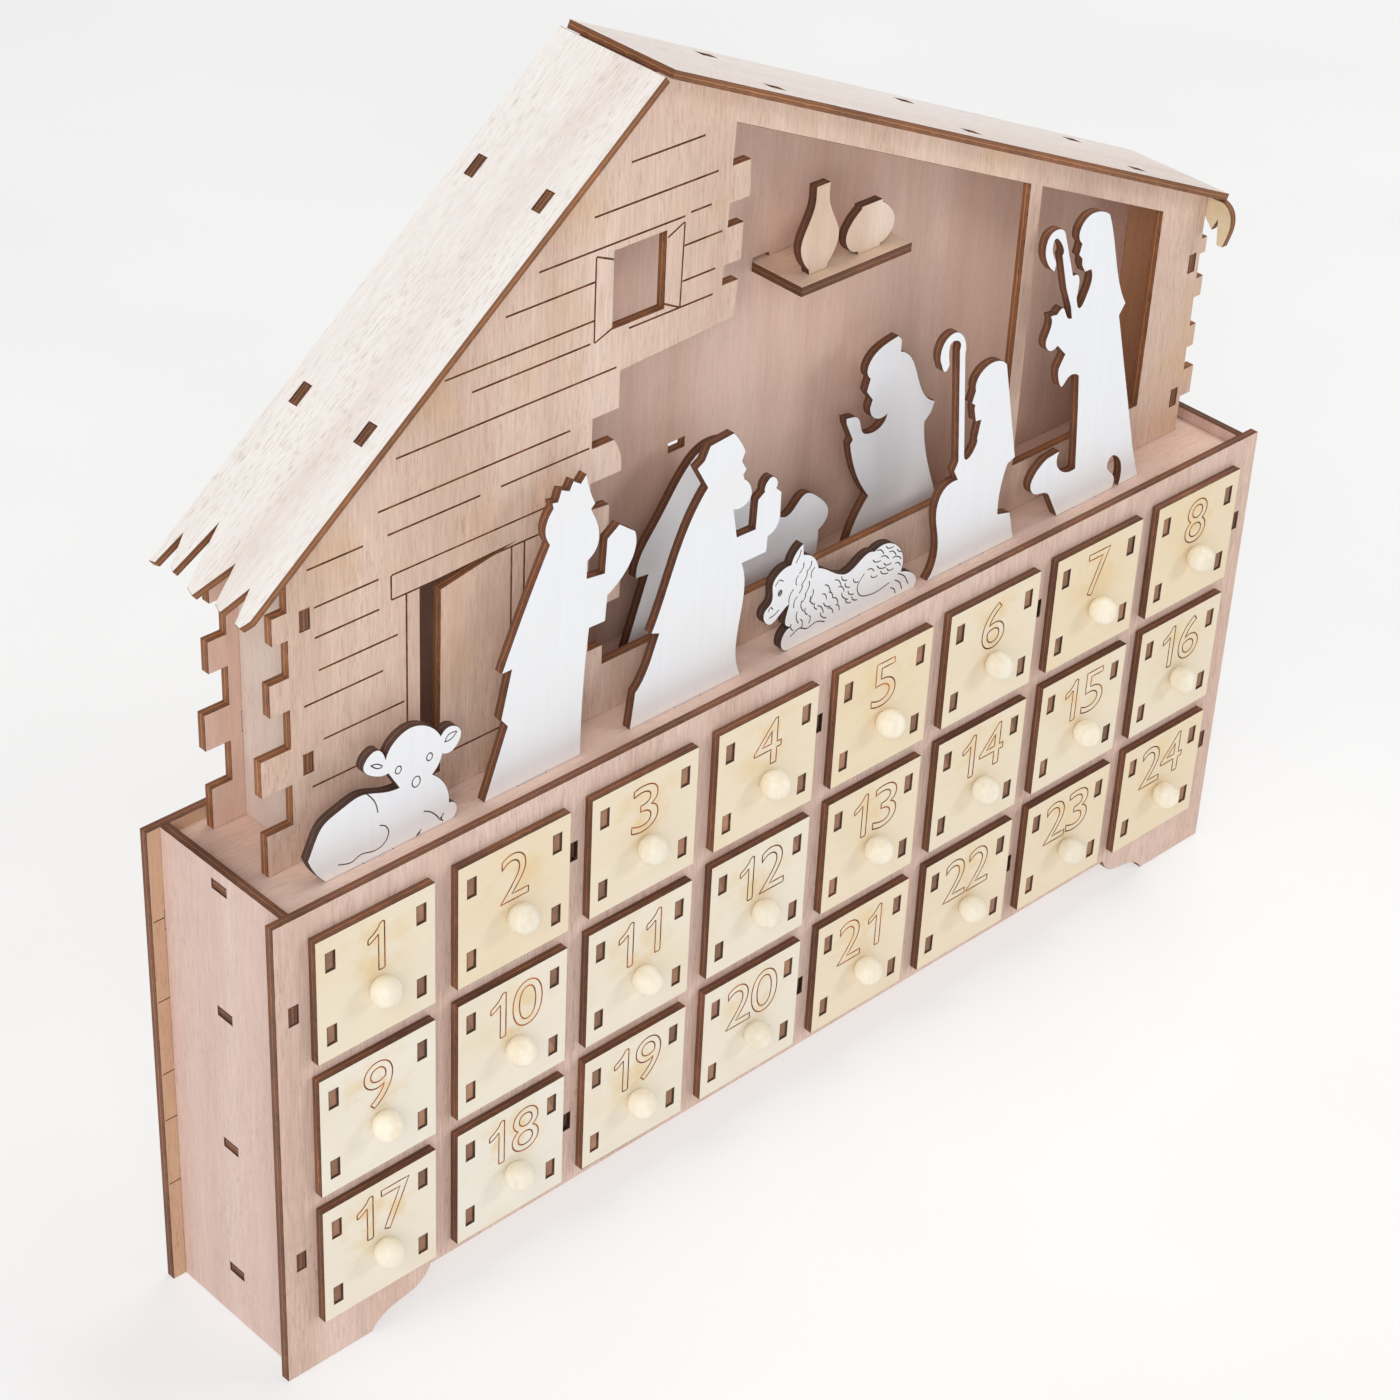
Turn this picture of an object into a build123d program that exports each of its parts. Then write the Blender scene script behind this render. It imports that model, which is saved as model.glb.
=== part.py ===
from build123d import *
import math
import os

# Drawer-type advent calendar: a plywood drawer cabinet that carries a stable scene of flat cut-outs.
# Millimetres, +Z up, front towards -Y, origin at the middle of the bounding box on the standing surface.

# Sheet material and joints
PLY = 3.0                    # thickness of the flat pieces
TAB_LENGTH = 6.2             # length of a joint tab along its edge
TAB_CLEARANCE = 0.1          # play round a tab in its slot
ROOF_PLY = 2.4               # thinner sheet of the roof panels and fringe
OVERRUN = 1.0                # how far a cut runs past a face

# Drawers
COLUMNS = 8
ROWS = 3
DRAWER_FRONT_WIDTH = 40.3    # front plate
DRAWER_FRONT_HEIGHT = 41.5
DRAWER_LIP_SIDE = 3.3        # front plate past the box, at each side
DRAWER_LIP_BOTTOM = 2.6
DRAWER_LIP_TOP = 3.3
DRAWER_BACK_GAP = 4.3        # box end to the back panel
SLIDE_CLEARANCE = 0.4        # box to the opening's sides and top
REST_CLEARANCE = 0.15        # box over its shelf, and front plate before the panel
KNOB_DIAMETER = 9.0
KNOB_SEAT = 0.5              # depth of the flat on the ball
KNOB_DROP = 3.5              # knob centre under the middle of the plate
drawer_tab_height_shares = (0.16, 0.86)

# Cabinet
COLUMN_GAP = 7.9             # between neighbouring front plates
ROW_GAP = 5.8
END_STILE = 11.15            # front panel beside the outer columns
TOP_RAIL = 8.2
BOTTOM_RAIL = 5.2
FOOT_HEIGHT = 13.0
FOOT_WIDTH = 52.0
INNER_DEPTH = 51.3           # between the front and back panels
SIDE_INSET = 4.4             # side panel in from the ends of the front panel
BOARD_RECESS = 3.9           # top board under the panels' top edges
side_tab_row_shares = (0.333, 0.474)       # over the shelf of the top and of the bottom row, in row pitches
divider_tab_row_shares = (0.46, 0.356)
foot_flat_share = 0.58
foot_curve_shares = ((0.64, 0.26), (0.75, 0.43), (0.885, 0.54), (0.955, 0.71), (1.0, 1.0))

# Stable: depths, and heights over the board
FRONT_WALK = 19.2            # board in front of the stable
BACK_LEDGE = 2.9             # board behind the stable
RIDGE_HEIGHT = 192.4         # underside of the roof at the ridge
EAVE_HEIGHT = 84.0           # underside of the roof at both eaves
SILL_HEIGHT = 17.2
BAND_DROP = 9.3              # wall left between the roof and the openings
LOG_REACH = 9.8              # longest log end past the wall
ROOF_FRONT_OVERHANG = 6.0
ROOF_BACK_OVERHANG = 5.0
RIDGE_SETBACK = 1.0          # left panel's end down from the ridge
FRINGE_DROP = 14.8
SHELF_HEIGHT = 107.0         # top of the wall shelf
SHELF_SETBACK = 3.0          # shelf's front edge behind the front wall
SHELF_SLOT_PLAY = 1.0        # slot higher than the shelf's tab
VASE_SETBACK = 4.4           # vase and pot behind the shelf's front edge
VASE_HEIGHT = 27.0
VASE_WIDTH = 15.3
POT_HEIGHT = 15.0
POT_WIDTH = 20.0

# Stable: places along the board, as shares of its length
ridge_share = 0.3585
left_eave_share = 0.0055
right_eave_share = 0.9862
wall_edge_shares = (0.0439, 0.9816)
side_wall_shares = (0.0584, 0.9722)
wall_tab_shares = (0.10, 0.42, 0.60, 0.90)
window_shares = ((0.3261, 0.3741), (0.639, 0.758))
post_shares = (0.7555, 0.7700)
right_bay_top_share = 0.9245
right_bay_foot_share = 0.9232
door_wedge_shares = ((0.156, 0.09), (0.156, 0.826), (0.238, 0.838), (0.1742, 0.785), (0.173, 0.09))
shelf_shares = (0.5275, 0.6435)
shelf_tab_end_share = 0.075
vase_share = 0.24
pot_share = 0.70
spare_slot_share = 0.4585
spare_slot_height_share = 0.297

# Log ends, at the left of the front and back walls and at the right of both: low and high as shares of the
# eave height, and the reach as a share of the longest
front_log_shares = ((0.0, 0.16, 0.88), (0.31, 0.448, 1.0), (0.592, 0.712, 0.64), (0.846, 0.946, 0.5))
back_log_shares = ((0.0, 0.16, 0.70), (0.31, 0.448, 0.83), (0.592, 0.712, 0.62), (0.846, 0.946, 0.5))
right_log_shares = ((0.148, 0.268, 0.50), (0.362, 0.457, 0.31), (0.576, 0.66, 0.33), (0.76, 0.826, 0.27))
left_wall_tab_shares = (0.364, 0.892)
right_wall_tab_shares = (0.16, 0.735)

# Broken-stone edge of the main bay, from the sill up: board length and ridge height
stone_low_shares = ((0.3261, 0.123), (0.3118, 0.123), (0.3118, 0.192), (0.3416, 0.192), (0.3416, 0.231),
                    (0.3105, 0.231), (0.3105, 0.314), (0.3287, 0.316), (0.3287, 0.359), (0.3105, 0.363),
                    (0.3105, 0.405), (0.3390, 0.405))
stone_round_shares = ((0.3390, 0.425), (0.3313, 0.462))
stone_high_shares = ((0.3105, 0.462), (0.3105, 0.509), (0.3352, 0.509), (0.3352, 0.568), (0.4442, 0.579),
                     (0.4455, 0.638), (0.4299, 0.638), (0.4305, 0.667), (0.4470, 0.667), (0.4480, 0.726),
                     (0.4325, 0.726), (0.4335, 0.761), (0.4533, 0.761), (0.4520, 0.819), (0.4345, 0.819))
stone_top_share = 0.4364

# Roof: tab places down each slope, and the toothed eaves (slope or drop share, depth share from the back)
roof_left_tab_shares = (0.255, 0.68)
roof_right_tab_shares = (0.181, 0.515, 0.840)
roof_tooth_shares = ((1.006, 0.0), (1.003, 0.055), (0.945, 0.092), (0.994, 0.180), (1.0, 0.226),
                     (0.905, 0.284), (1.006, 0.400), (1.012, 0.48), (0.940, 0.607), (1.003, 0.675),
                     (1.009, 0.755), (0.958, 0.831), (1.010, 0.906), (1.012, 0.965), (0.996, 1.0))
fringe_front_shares = ((0.24, 1.09), (0.41, 1.10), (0.69, 1.085), (1.0, 1.05))
fringe_tooth_shares = ((1.0, 0.99), (0.45, 0.97), (0.72, 0.925), (0.35, 0.80), (0.75, 0.70), (0.75, 0.64),
                       (0.40, 0.53), (0.78, 0.44), (0.78, 0.38), (0.38, 0.28), (0.75, 0.17), (0.75, 0.11),
                       (0.40, 0.0))

# Heights of the flat figures
LAMB_HEIGHT = 36.5
CROWNED_KING_HEIGHT = 90.8
GIFT_KING_HEIGHT = 83.2
MOTHER_HEIGHT = 63.4
FATHER_HEIGHT = 71.8
KNEELING_SHEPHERD_HEIGHT = 84.0
STANDING_SHEPHERD_HEIGHT = 103.9
WOOLLY_SHEEP_HEIGHT = 35.4
FIGURE_TAB = 10.0            # width of the tab under a figure

# Outlines of the flat figures, as shares of width and height. The first point starts on the base line; then
# each run goes on from the last point: one point is a straight line, more points are one smooth curve.
lamb_shares = (
    ((0.11, 0.0),),
    ((0.04, 0.13), (0.0, 0.26)),
    ((0.04, 0.38), (0.10, 0.51), (0.21, 0.575), (0.34, 0.615), (0.455, 0.565), (0.59, 0.52)),
    ((0.52, 0.69),),
    ((0.41, 0.74), (0.36, 0.84), (0.405, 0.93), (0.505, 0.83)),
    ((0.57, 0.953), (0.667, 1.0), (0.783, 0.94), (0.865, 0.80)),
    ((0.937, 0.845), (1.0, 0.76), (0.965, 0.64), (0.875, 0.633)),
    ((0.854, 0.56), (0.81, 0.493)),
    ((0.875, 0.395), (0.917, 0.257), (0.921, 0.167)),
    ((0.965, 0.13), (0.971, 0.05), (0.937, 0.0)))
crowned_king_shares = (
    ((0.0, 0.0),), ((0.151, 0.239),), ((0.107, 0.272),), ((0.174, 0.436),), ((0.108, 0.436),),
    ((0.215, 0.577), (0.411, 0.812)),
    ((0.38, 0.862), (0.43, 0.931)),
    ((0.422, 0.952),), ((0.46, 0.947),), ((0.482, 0.983),), ((0.534, 0.968),), ((0.56, 0.996),),
    ((0.609, 0.976),), ((0.646, 1.0),), ((0.668, 0.952),),
    ((0.682, 0.926), (0.712, 0.887)), ((0.686, 0.872),), ((0.699, 0.856),),
    ((0.73, 0.814), (0.742, 0.748), (0.669, 0.697)),
    ((0.667, 0.636),), ((0.787, 0.626),), ((0.798, 0.743),), ((0.88, 0.776),), ((0.99, 0.727),),
    ((1.0, 0.671), (0.953, 0.61), (0.813, 0.542)),
    ((0.802, 0.452),), ((0.693, 0.454),),
    ((0.675, 0.346), (0.656, 0.0)))
gift_king_shares = (
    ((0.0, 0.0),), ((0.029, 0.143),),
    ((0.081, 0.185), (0.133, 0.257), (0.179, 0.339)),
    ((0.125, 0.353),),
    ((0.242, 0.546), (0.349, 0.714), (0.471, 0.832)),
    ((0.391, 0.924),), ((0.439, 0.942),), ((0.475, 0.99),), ((0.636, 1.0),),
    ((0.688, 0.954), (0.724, 0.909)),
    ((0.703, 0.877),), ((0.738, 0.836),), ((0.717, 0.82),), ((0.728, 0.80),),
    ((0.774, 0.762), (0.781, 0.72), (0.726, 0.693), (0.663, 0.697)),
    ((0.695, 0.582),), ((0.824, 0.579),), ((0.83, 0.693),), ((0.875, 0.712),),
    ((0.885, 0.745), (0.919, 0.76), (0.961, 0.74), (0.959, 0.707)),
    ((0.998, 0.682),), ((1.0, 0.588),),
    ((0.968, 0.54), (0.918, 0.525)),
    ((0.914, 0.464),), ((0.742, 0.465),),
    ((0.771, 0.353), (0.733, 0.137), (0.78, 0.0)))
mother_shares = (
    ((0.0, 0.0),), ((0.118, 0.448),), ((0.06, 0.457),),
    ((0.063, 0.511), (0.152, 0.701), (0.259, 0.892), (0.335, 0.98), (0.42, 1.0)),
    ((0.484, 0.97), (0.51, 0.92)),
    ((0.501, 0.896),), ((0.525, 0.852),), ((0.513, 0.832),), ((0.517, 0.811),), ((0.51, 0.771),),
    ((0.492, 0.74),),
    ((0.57, 0.653), (0.666, 0.535), (0.755, 0.426)),
    ((0.797, 0.416), (0.871, 0.489), (0.94, 0.442), (1.0, 0.330), (0.955, 0.249)),
    ((0.955, 0.196), (0.928, 0.0)))
father_shares = (
    ((0.071, 0.0),),
    ((0.125, 0.131), (0.266, 0.274)),
    ((0.168, 0.368), (0.054, 0.574)),
    ((0.076, 0.59),), ((0.007, 0.681),), ((0.0, 0.71),), ((0.071, 0.702),),
    ((0.136, 0.664), (0.171, 0.605), (0.244, 0.585), (0.352, 0.602), (0.387, 0.641)),
    ((0.32, 0.634), (0.248, 0.66), (0.218, 0.709)),
    ((0.235, 0.744),), ((0.214, 0.76),), ((0.175, 0.794),), ((0.2, 0.85),),
    ((0.166, 0.904), (0.212, 0.953), (0.33, 0.988), (0.438, 1.0)),
    ((0.473, 0.975),), ((0.473, 0.919),),
    ((0.557, 0.883), (0.676, 0.73), (0.849, 0.599)),
    ((0.819, 0.549),), ((0.762, 0.515),),
    ((0.806, 0.354), (0.914, 0.159), (1.0, 0.0)))
kneeling_shepherd_shares = (
    ((0.074, 0.0),),
    ((0.147, 0.064), (0.152, 0.16), (0.109, 0.29), (0.145, 0.35), (0.306, 0.38)),
    ((0.261, 0.421),), ((0.295, 0.457),), ((0.195, 0.921),),
    ((0.157, 0.963), (0.109, 0.964), (0.09, 0.927), (0.109, 0.88)),
    ((0.069, 0.857), (0.019, 0.892)),
    ((0.0, 0.939), (0.05, 0.988), (0.145, 1.0), (0.235, 0.963), (0.261, 0.898)),
    ((0.354, 0.481),),
    ((0.39, 0.449), (0.442, 0.467), (0.473, 0.517)),
    ((0.499, 0.588),), ((0.442, 0.592),), ((0.425, 0.624),), ((0.413, 0.648),), ((0.418, 0.662),),
    ((0.38, 0.676),), ((0.409, 0.721),),
    ((0.416, 0.767), (0.489, 0.8), (0.644, 0.802), (0.722, 0.773)),
    ((0.822, 0.564), (0.922, 0.357)),
    ((0.846, 0.344),),
    ((0.798, 0.255), (0.793, 0.142)),
    ((0.929, 0.124),), ((1.0, 0.0),))
standing_shepherd_shares = (
    ((0.337, 0.0),), ((0.259, 0.081),),
    ((0.191, 0.11), (0.131, 0.119), (0.089, 0.153), (0.14, 0.206), (0.208, 0.228)),
    ((0.303, 0.234),),
    ((0.29, 0.192), (0.344, 0.154), (0.446, 0.143)),
    ((0.409, 0.35),), ((0.383, 0.469),),
    ((0.344, 0.483), (0.3, 0.481), (0.256, 0.459), (0.222, 0.485), (0.215, 0.533)),
    ((0.25, 0.568),), ((0.182, 0.608),),
    ((0.119, 0.604), (0.082, 0.634), (0.106, 0.678), (0.095, 0.722)),
    ((0.15, 0.718),),
    ((0.196, 0.73), (0.23, 0.697), (0.269, 0.683)),
    ((0.252, 0.721),), ((0.196, 0.793),), ((0.135, 0.909),),
    ((0.102, 0.96), (0.072, 0.971), (0.058, 0.942), (0.097, 0.889), (0.085, 0.865)),
    ((0.038, 0.892), (0.0, 0.957), (0.029, 0.993), (0.089, 1.0), (0.145, 0.976)),
    ((0.242, 0.825),),
    ((0.286, 0.818), (0.3, 0.779), (0.293, 0.745)),
    ((0.334, 0.707), (0.37, 0.74), (0.395, 0.788), (0.382, 0.818)),
    ((0.331, 0.82),), ((0.303, 0.846),), ((0.298, 0.868),), ((0.269, 0.885),), ((0.284, 0.918),),
    ((0.256, 0.966), (0.303, 0.998), (0.412, 0.999), (0.484, 0.976)),
    ((0.557, 0.86), (0.617, 0.75), (0.702, 0.651)),
    ((0.661, 0.618),), ((0.923, 0.119),), ((1.0, 0.0),), ((0.835, 0.0),),
    ((0.845, 0.052), (0.804, 0.105), (0.745, 0.119), (0.722, 0.098), (0.77, 0.057), (0.78, 0.0)))
woolly_sheep_shares = (
    ((0.176, 0.0),),
    ((0.122, 0.10), (0.143, 0.20), (0.176, 0.23)),
    ((0.14, 0.294), (0.149, 0.393), (0.158, 0.463)),
    ((0.10, 0.395), (0.047, 0.35), (0.003, 0.435), (0.018, 0.528)),
    ((0.049, 0.59), (0.049, 0.746), (0.085, 0.819), (0.155, 0.845)),
    ((0.179, 0.935), (0.225, 1.0)),
    ((0.233, 0.887),),
    ((0.29, 0.83), (0.334, 0.684)),
    ((0.366, 0.655), (0.419, 0.585), (0.48, 0.514)),
    ((0.571, 0.52), (0.647, 0.59), (0.693, 0.576)),
    ((0.769, 0.60), (0.853, 0.506), (0.891, 0.359), (0.884, 0.237)),
    ((0.936, 0.198), (0.991, 0.096), (0.982, 0.0)))
vase_shares = (
    ((0.26, 0.0),), ((0.24, 0.06),),
    ((0.05, 0.22), (0.0, 0.35), (0.12, 0.55), (0.28, 0.74), (0.32, 0.88)),
    ((0.32, 1.0),), ((0.68, 1.0),), ((0.68, 0.88),),
    ((0.72, 0.74), (0.88, 0.55), (1.0, 0.35), (0.95, 0.22), (0.76, 0.06)),
    ((0.74, 0.0),))
pot_shares = (
    ((0.27, 0.0),), ((0.27, 0.06),),
    ((0.06, 0.22), (0.0, 0.46), (0.1, 0.74), (0.28, 0.94)),
    ((0.29, 1.0),), ((0.71, 1.0),), ((0.72, 0.94),),
    ((0.9, 0.74), (1.0, 0.46), (0.94, 0.22), (0.73, 0.06)),
    ((0.73, 0.0),))

# The rows of figures: left end and width as shares of the board, height, tab place as a share of the width
front_row_shares = {
    "resting_lamb": (0.0335, 0.1350, LAMB_HEIGHT, 0.45, lamb_shares),
    "crowned_king": (0.1898, 0.1389, CROWNED_KING_HEIGHT, 0.32, crowned_king_shares),
    "gift_bearing_king": (0.3287, 0.1449, GIFT_KING_HEIGHT, 0.40, gift_king_shares),
    "woolly_sheep": (0.4621, 0.1708, WOOLLY_SHEEP_HEIGHT, 0.55, woolly_sheep_shares),
    "kneeling_shepherd": (0.6360, 0.1093, KNEELING_SHEPHERD_HEIGHT, 0.55, kneeling_shepherd_shares),
    "standing_shepherd": (0.7461, 0.1524, STANDING_SHEPHERD_HEIGHT, 0.56, standing_shepherd_shares)}
inner_row_shares = {
    "mother_at_manger": (0.3762, 0.2173, MOTHER_HEIGHT, 0.45, mother_shares),
    "praying_father": (0.6057, 0.1202, FATHER_HEIGHT, 0.55, father_shares)}

# Worked out: cabinet
COLUMN_PITCH = DRAWER_FRONT_WIDTH + COLUMN_GAP
ROW_PITCH = DRAWER_FRONT_HEIGHT + ROW_GAP
CABINET_WIDTH = 2 * END_STILE + COLUMNS * DRAWER_FRONT_WIDTH + (COLUMNS - 1) * COLUMN_GAP
PLATES_HEIGHT = ROWS * DRAWER_FRONT_HEIGHT + (ROWS - 1) * ROW_GAP
CABINET_HEIGHT = FOOT_HEIGHT + BOTTOM_RAIL + PLATES_HEIGHT + TOP_RAIL
BOX_WIDTH = DRAWER_FRONT_WIDTH - 2 * DRAWER_LIP_SIDE
BOX_HEIGHT = DRAWER_FRONT_HEIGHT - DRAWER_LIP_BOTTOM - DRAWER_LIP_TOP
KNOB_REACH = REST_CLEARANCE + PLY + KNOB_DIAMETER - KNOB_SEAT
TOTAL_DEPTH = KNOB_REACH + 2 * PLY + INNER_DEPTH
FRONT_FACE = KNOB_REACH - TOTAL_DEPTH / 2        # front of the front panel
FRONT_BACK = FRONT_FACE + PLY
BACK_FACE = FRONT_BACK + INNER_DEPTH             # front of the back panel
SIDE_OUTER = CABINET_WIDTH / 2 - SIDE_INSET
SIDE_INNER = SIDE_OUTER - PLY
BOARD_TOP = CABINET_HEIGHT - BOARD_RECESS
BOARD_LENGTH = 2 * SIDE_INNER
SLOT_WIDTH = PLY + 2 * TAB_CLEARANCE
SLOT_LENGTH = TAB_LENGTH + 2 * TAB_CLEARANCE
MIDDLE_DEPTH = (FRONT_BACK + BACK_FACE) / 2
TAB_HALF = TAB_LENGTH / 2
SLOT_HALF = SLOT_LENGTH / 2

# Worked out: stable
STABLE_FRONT = FRONT_BACK + FRONT_WALK           # front of the front wall
STABLE_DEPTH = INNER_DEPTH - FRONT_WALK - BACK_LEDGE - 2 * PLY
STABLE_INSIDE = STABLE_FRONT + PLY
STABLE_BACK = STABLE_INSIDE + STABLE_DEPTH       # front of the back wall
ROOF_FRONT = STABLE_FRONT - ROOF_FRONT_OVERHANG
ROOF_BACK = STABLE_BACK + PLY + ROOF_BACK_OVERHANG
ROOF_DEPTH = ROOF_BACK - ROOF_FRONT


def along(share):
    """Place along the board at a share of its length."""
    return -SIDE_INNER + share * BOARD_LENGTH


def middle(low, high):
    """Middle of two values."""
    return (low + high) / 2


RIDGE_X = along(ridge_share)
RIDGE_Z = BOARD_TOP + RIDGE_HEIGHT
EAVE_Z = BOARD_TOP + EAVE_HEIGHT
LEFT_EAVE_X = along(left_eave_share)
RIGHT_EAVE_X = along(right_eave_share)
ROOF_FALL = RIDGE_HEIGHT - EAVE_HEIGHT
LEFT_SLOPE = math.atan2(ROOF_FALL, RIDGE_X - LEFT_EAVE_X)
RIGHT_SLOPE = math.atan2(ROOF_FALL, RIGHT_EAVE_X - RIDGE_X)
LEFT_ROOF_LENGTH = math.hypot(ROOF_FALL, RIDGE_X - LEFT_EAVE_X)
RIGHT_ROOF_LENGTH = math.hypot(ROOF_FALL, RIGHT_EAVE_X - RIDGE_X)
SHELF_TOP = BOARD_TOP + SHELF_HEIGHT
SHELF_FRONT = STABLE_INSIDE + SHELF_SETBACK


def roof_height(x):
    """Height of the roof's underside at a place along the board."""
    slope = LEFT_SLOPE if x < RIDGE_X else RIGHT_SLOPE
    return RIDGE_Z - abs(x - RIDGE_X) * math.tan(slope)


def block(x_range, y_range, z_range):
    """Box between three (low, high) pairs."""
    sizes = [high - low for low, high in (x_range, y_range, z_range)]
    centre = [middle(low, high) for low, high in (x_range, y_range, z_range)]
    return Pos(*centre) * Box(*sizes)


def cut_rectangle(x_range, z_range):
    """Flat rectangle between two (low, high) pairs."""
    centre = Pos(middle(*x_range), middle(*z_range))
    return centre * Rectangle(x_range[1] - x_range[0], z_range[1] - z_range[0])


def polygon(points):
    """Flat face inside straight lines through points."""
    return make_face(Polyline(*points, close=True))


def upright(face, front):
    """Plate parallel to the front panel, from a face drawn in X and Z."""
    plane = Plane(origin=(0, front, 0), x_dir=(1, 0, 0), z_dir=(0, -1, 0))
    return extrude(plane * face, amount=-PLY)


def around(centre, half):
    """(low, high) pair around a centre."""
    return (centre - half, centre + half)


def shelf_level(row):
    """Top of the shelf that a row of drawers runs on; row 0 is the top row."""
    plate_bottom = CABINET_HEIGHT - TOP_RAIL - DRAWER_FRONT_HEIGHT - row * ROW_PITCH
    return plate_bottom + DRAWER_LIP_BOTTOM - REST_CLEARANCE


def column_middle(column):
    """Middle of a drawer column; column 0 is the left one."""
    return (column - (COLUMNS - 1) / 2) * COLUMN_PITCH


def tab_levels(row_shares):
    """Middle heights of the tabs in the top and bottom rows."""
    return [shelf_level(row) + share * ROW_PITCH for row, share in zip((0, ROWS - 1), row_shares)]


DIVIDER_PLACES = [column_middle(column) + COLUMN_PITCH / 2 for column in range(1, COLUMNS - 1, 2)]
SIDE_TAB_LEVELS = tab_levels(side_tab_row_shares)
DIVIDER_TAB_LEVELS = tab_levels(divider_tab_row_shares)
SIDE_MIDDLE = SIDE_OUTER - PLY / 2


def joint_slots():
    """Slots in the front and back panels for the side panels and dividers."""
    places = [(side * SIDE_MIDDLE, level) for side in (-1, 1) for level in SIDE_TAB_LEVELS]
    places += [(x, level) for x in DIVIDER_PLACES for level in DIVIDER_TAB_LEVELS]
    return [Pos(x, z) * Rectangle(SLOT_WIDTH, SLOT_LENGTH) for x, z in places]


def cabinet_front():
    """Front panel with drawer openings, scrolled feet and joint slots."""
    end = CABINET_WIDTH / 2
    face = cut_rectangle((-end, end), (0, CABINET_HEIGHT))
    flat = end - foot_flat_share * FOOT_WIDTH
    curve = [(end - across * FOOT_WIDTH, up * FOOT_HEIGHT) for across, up in foot_curve_shares]
    right = Spline((flat, 0), *curve)
    left = Spline((-flat, 0), *[(-x, z) for x, z in curve])
    inner = curve[-1][0]
    rail = Line((inner, FOOT_HEIGHT), (-inner, FOOT_HEIGHT))
    feet_gap = make_face([right, rail, left, Line((-flat, 0), (flat, 0))])
    cuts = [feet_gap] + joint_slots()
    half = BOX_WIDTH / 2 + SLIDE_CLEARANCE
    opening_height = REST_CLEARANCE + BOX_HEIGHT + SLIDE_CLEARANCE
    for row in range(ROWS):
        low = shelf_level(row)
        for column in range(COLUMNS):
            cuts.append(cut_rectangle(around(column_middle(column), half), (low, low + opening_height)))
    return upright(face - cuts, FRONT_FACE)


def cabinet_back():
    """Plain back panel with the same joint slots."""
    end = CABINET_WIDTH / 2
    face = cut_rectangle((-end, end), (0, CABINET_HEIGHT))
    return upright(face - joint_slots(), BACK_FACE)


def shelf_middles():
    """Middle heights of the top board, the two shelves and the floor."""
    return [BOARD_TOP - PLY / 2] + [shelf_level(row) - PLY / 2 for row in range(ROWS)]


def cabinet_side(side):
    """Side panel; side is -1 for left and 1 for right."""
    x_range = tuple(sorted((side * SIDE_INNER, side * SIDE_OUTER)))
    panel = block(x_range, (FRONT_BACK, BACK_FACE), (0, CABINET_HEIGHT))
    tabs = []
    for level in SIDE_TAB_LEVELS:
        tabs.append(block(x_range, (FRONT_FACE, FRONT_BACK), around(level, TAB_HALF)))
        tabs.append(block(x_range, (BACK_FACE, BACK_FACE + PLY), around(level, TAB_HALF)))
    through = (x_range[0] - OVERRUN, x_range[1] + OVERRUN)
    slots = [block(through, around(MIDDLE_DEPTH, SLOT_HALF), around(level, SLOT_WIDTH / 2))
             for level in shelf_middles()]
    return panel + tabs - slots


def level_board(top):
    """Board between front, back and sides, with one tab through each side panel."""
    z_range = (top - PLY, top)
    board = block((-SIDE_INNER, SIDE_INNER), (FRONT_BACK, BACK_FACE), z_range)
    tab = block((-SIDE_OUTER, SIDE_OUTER), around(MIDDLE_DEPTH, TAB_HALF), z_range)
    return board + tab


def drawer_shelf(row):
    """Shelf under a drawer row, notched from the front for the dividers."""
    top = shelf_level(row)
    notches = [block(around(x, SLOT_WIDTH / 2), (FRONT_BACK - OVERRUN, MIDDLE_DEPTH + TAB_CLEARANCE),
                     (top - PLY - OVERRUN, top + OVERRUN)) for x in DIVIDER_PLACES]
    return level_board(top) - notches


def column_divider(x):
    """Upright between floor and top board, notched from the back for the shelves."""
    x_range = around(x, PLY / 2)
    z_range = (shelf_level(ROWS - 1), BOARD_TOP - PLY)
    panel = block(x_range, (FRONT_BACK, BACK_FACE), z_range)
    tabs = []
    for level in DIVIDER_TAB_LEVELS:
        tabs.append(block(x_range, (FRONT_FACE, FRONT_BACK), around(level, TAB_HALF)))
        tabs.append(block(x_range, (BACK_FACE, BACK_FACE + PLY), around(level, TAB_HALF)))
    through = (x_range[0] - OVERRUN, x_range[1] + OVERRUN)
    notches = [block(through, (MIDDLE_DEPTH - TAB_CLEARANCE, BACK_FACE + OVERRUN),
                     around(level, SLOT_WIDTH / 2)) for level in shelf_middles()[1:-1]]
    return panel + tabs - notches


def run_outline(runs, left, base, width, height):
    """Flat face inside an outline of straight and curved runs, given as shares."""
    def place(point):
        return (left + point[0] * width, base + point[1] * height)

    start = place(runs[0][0])
    last = start
    edges = []
    for run in runs[1:]:
        points = [place(point) for point in run]
        edges.append(Line(last, points[0]) if len(points) == 1 else Spline(last, *points))
        last = points[-1]
    edges.append(Line(last, start))
    return make_face(edges)


def figure_place(entry):
    """Left end, width and tab middle of a figure."""
    left_share, width_share, _, tab_share, _ = entry
    left = along(left_share)
    width = width_share * BOARD_LENGTH
    return left, width, left + tab_share * width


def figure(entry, front):
    """Flat figure on the board with one tab through it."""
    left, width, tab_middle = figure_place(entry)
    face = run_outline(entry[-1], left, BOARD_TOP, width, entry[2])
    tab = cut_rectangle(around(tab_middle, FIGURE_TAB / 2), (BOARD_TOP - PLY, BOARD_TOP + PLY))
    return upright(face + tab, front)


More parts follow.
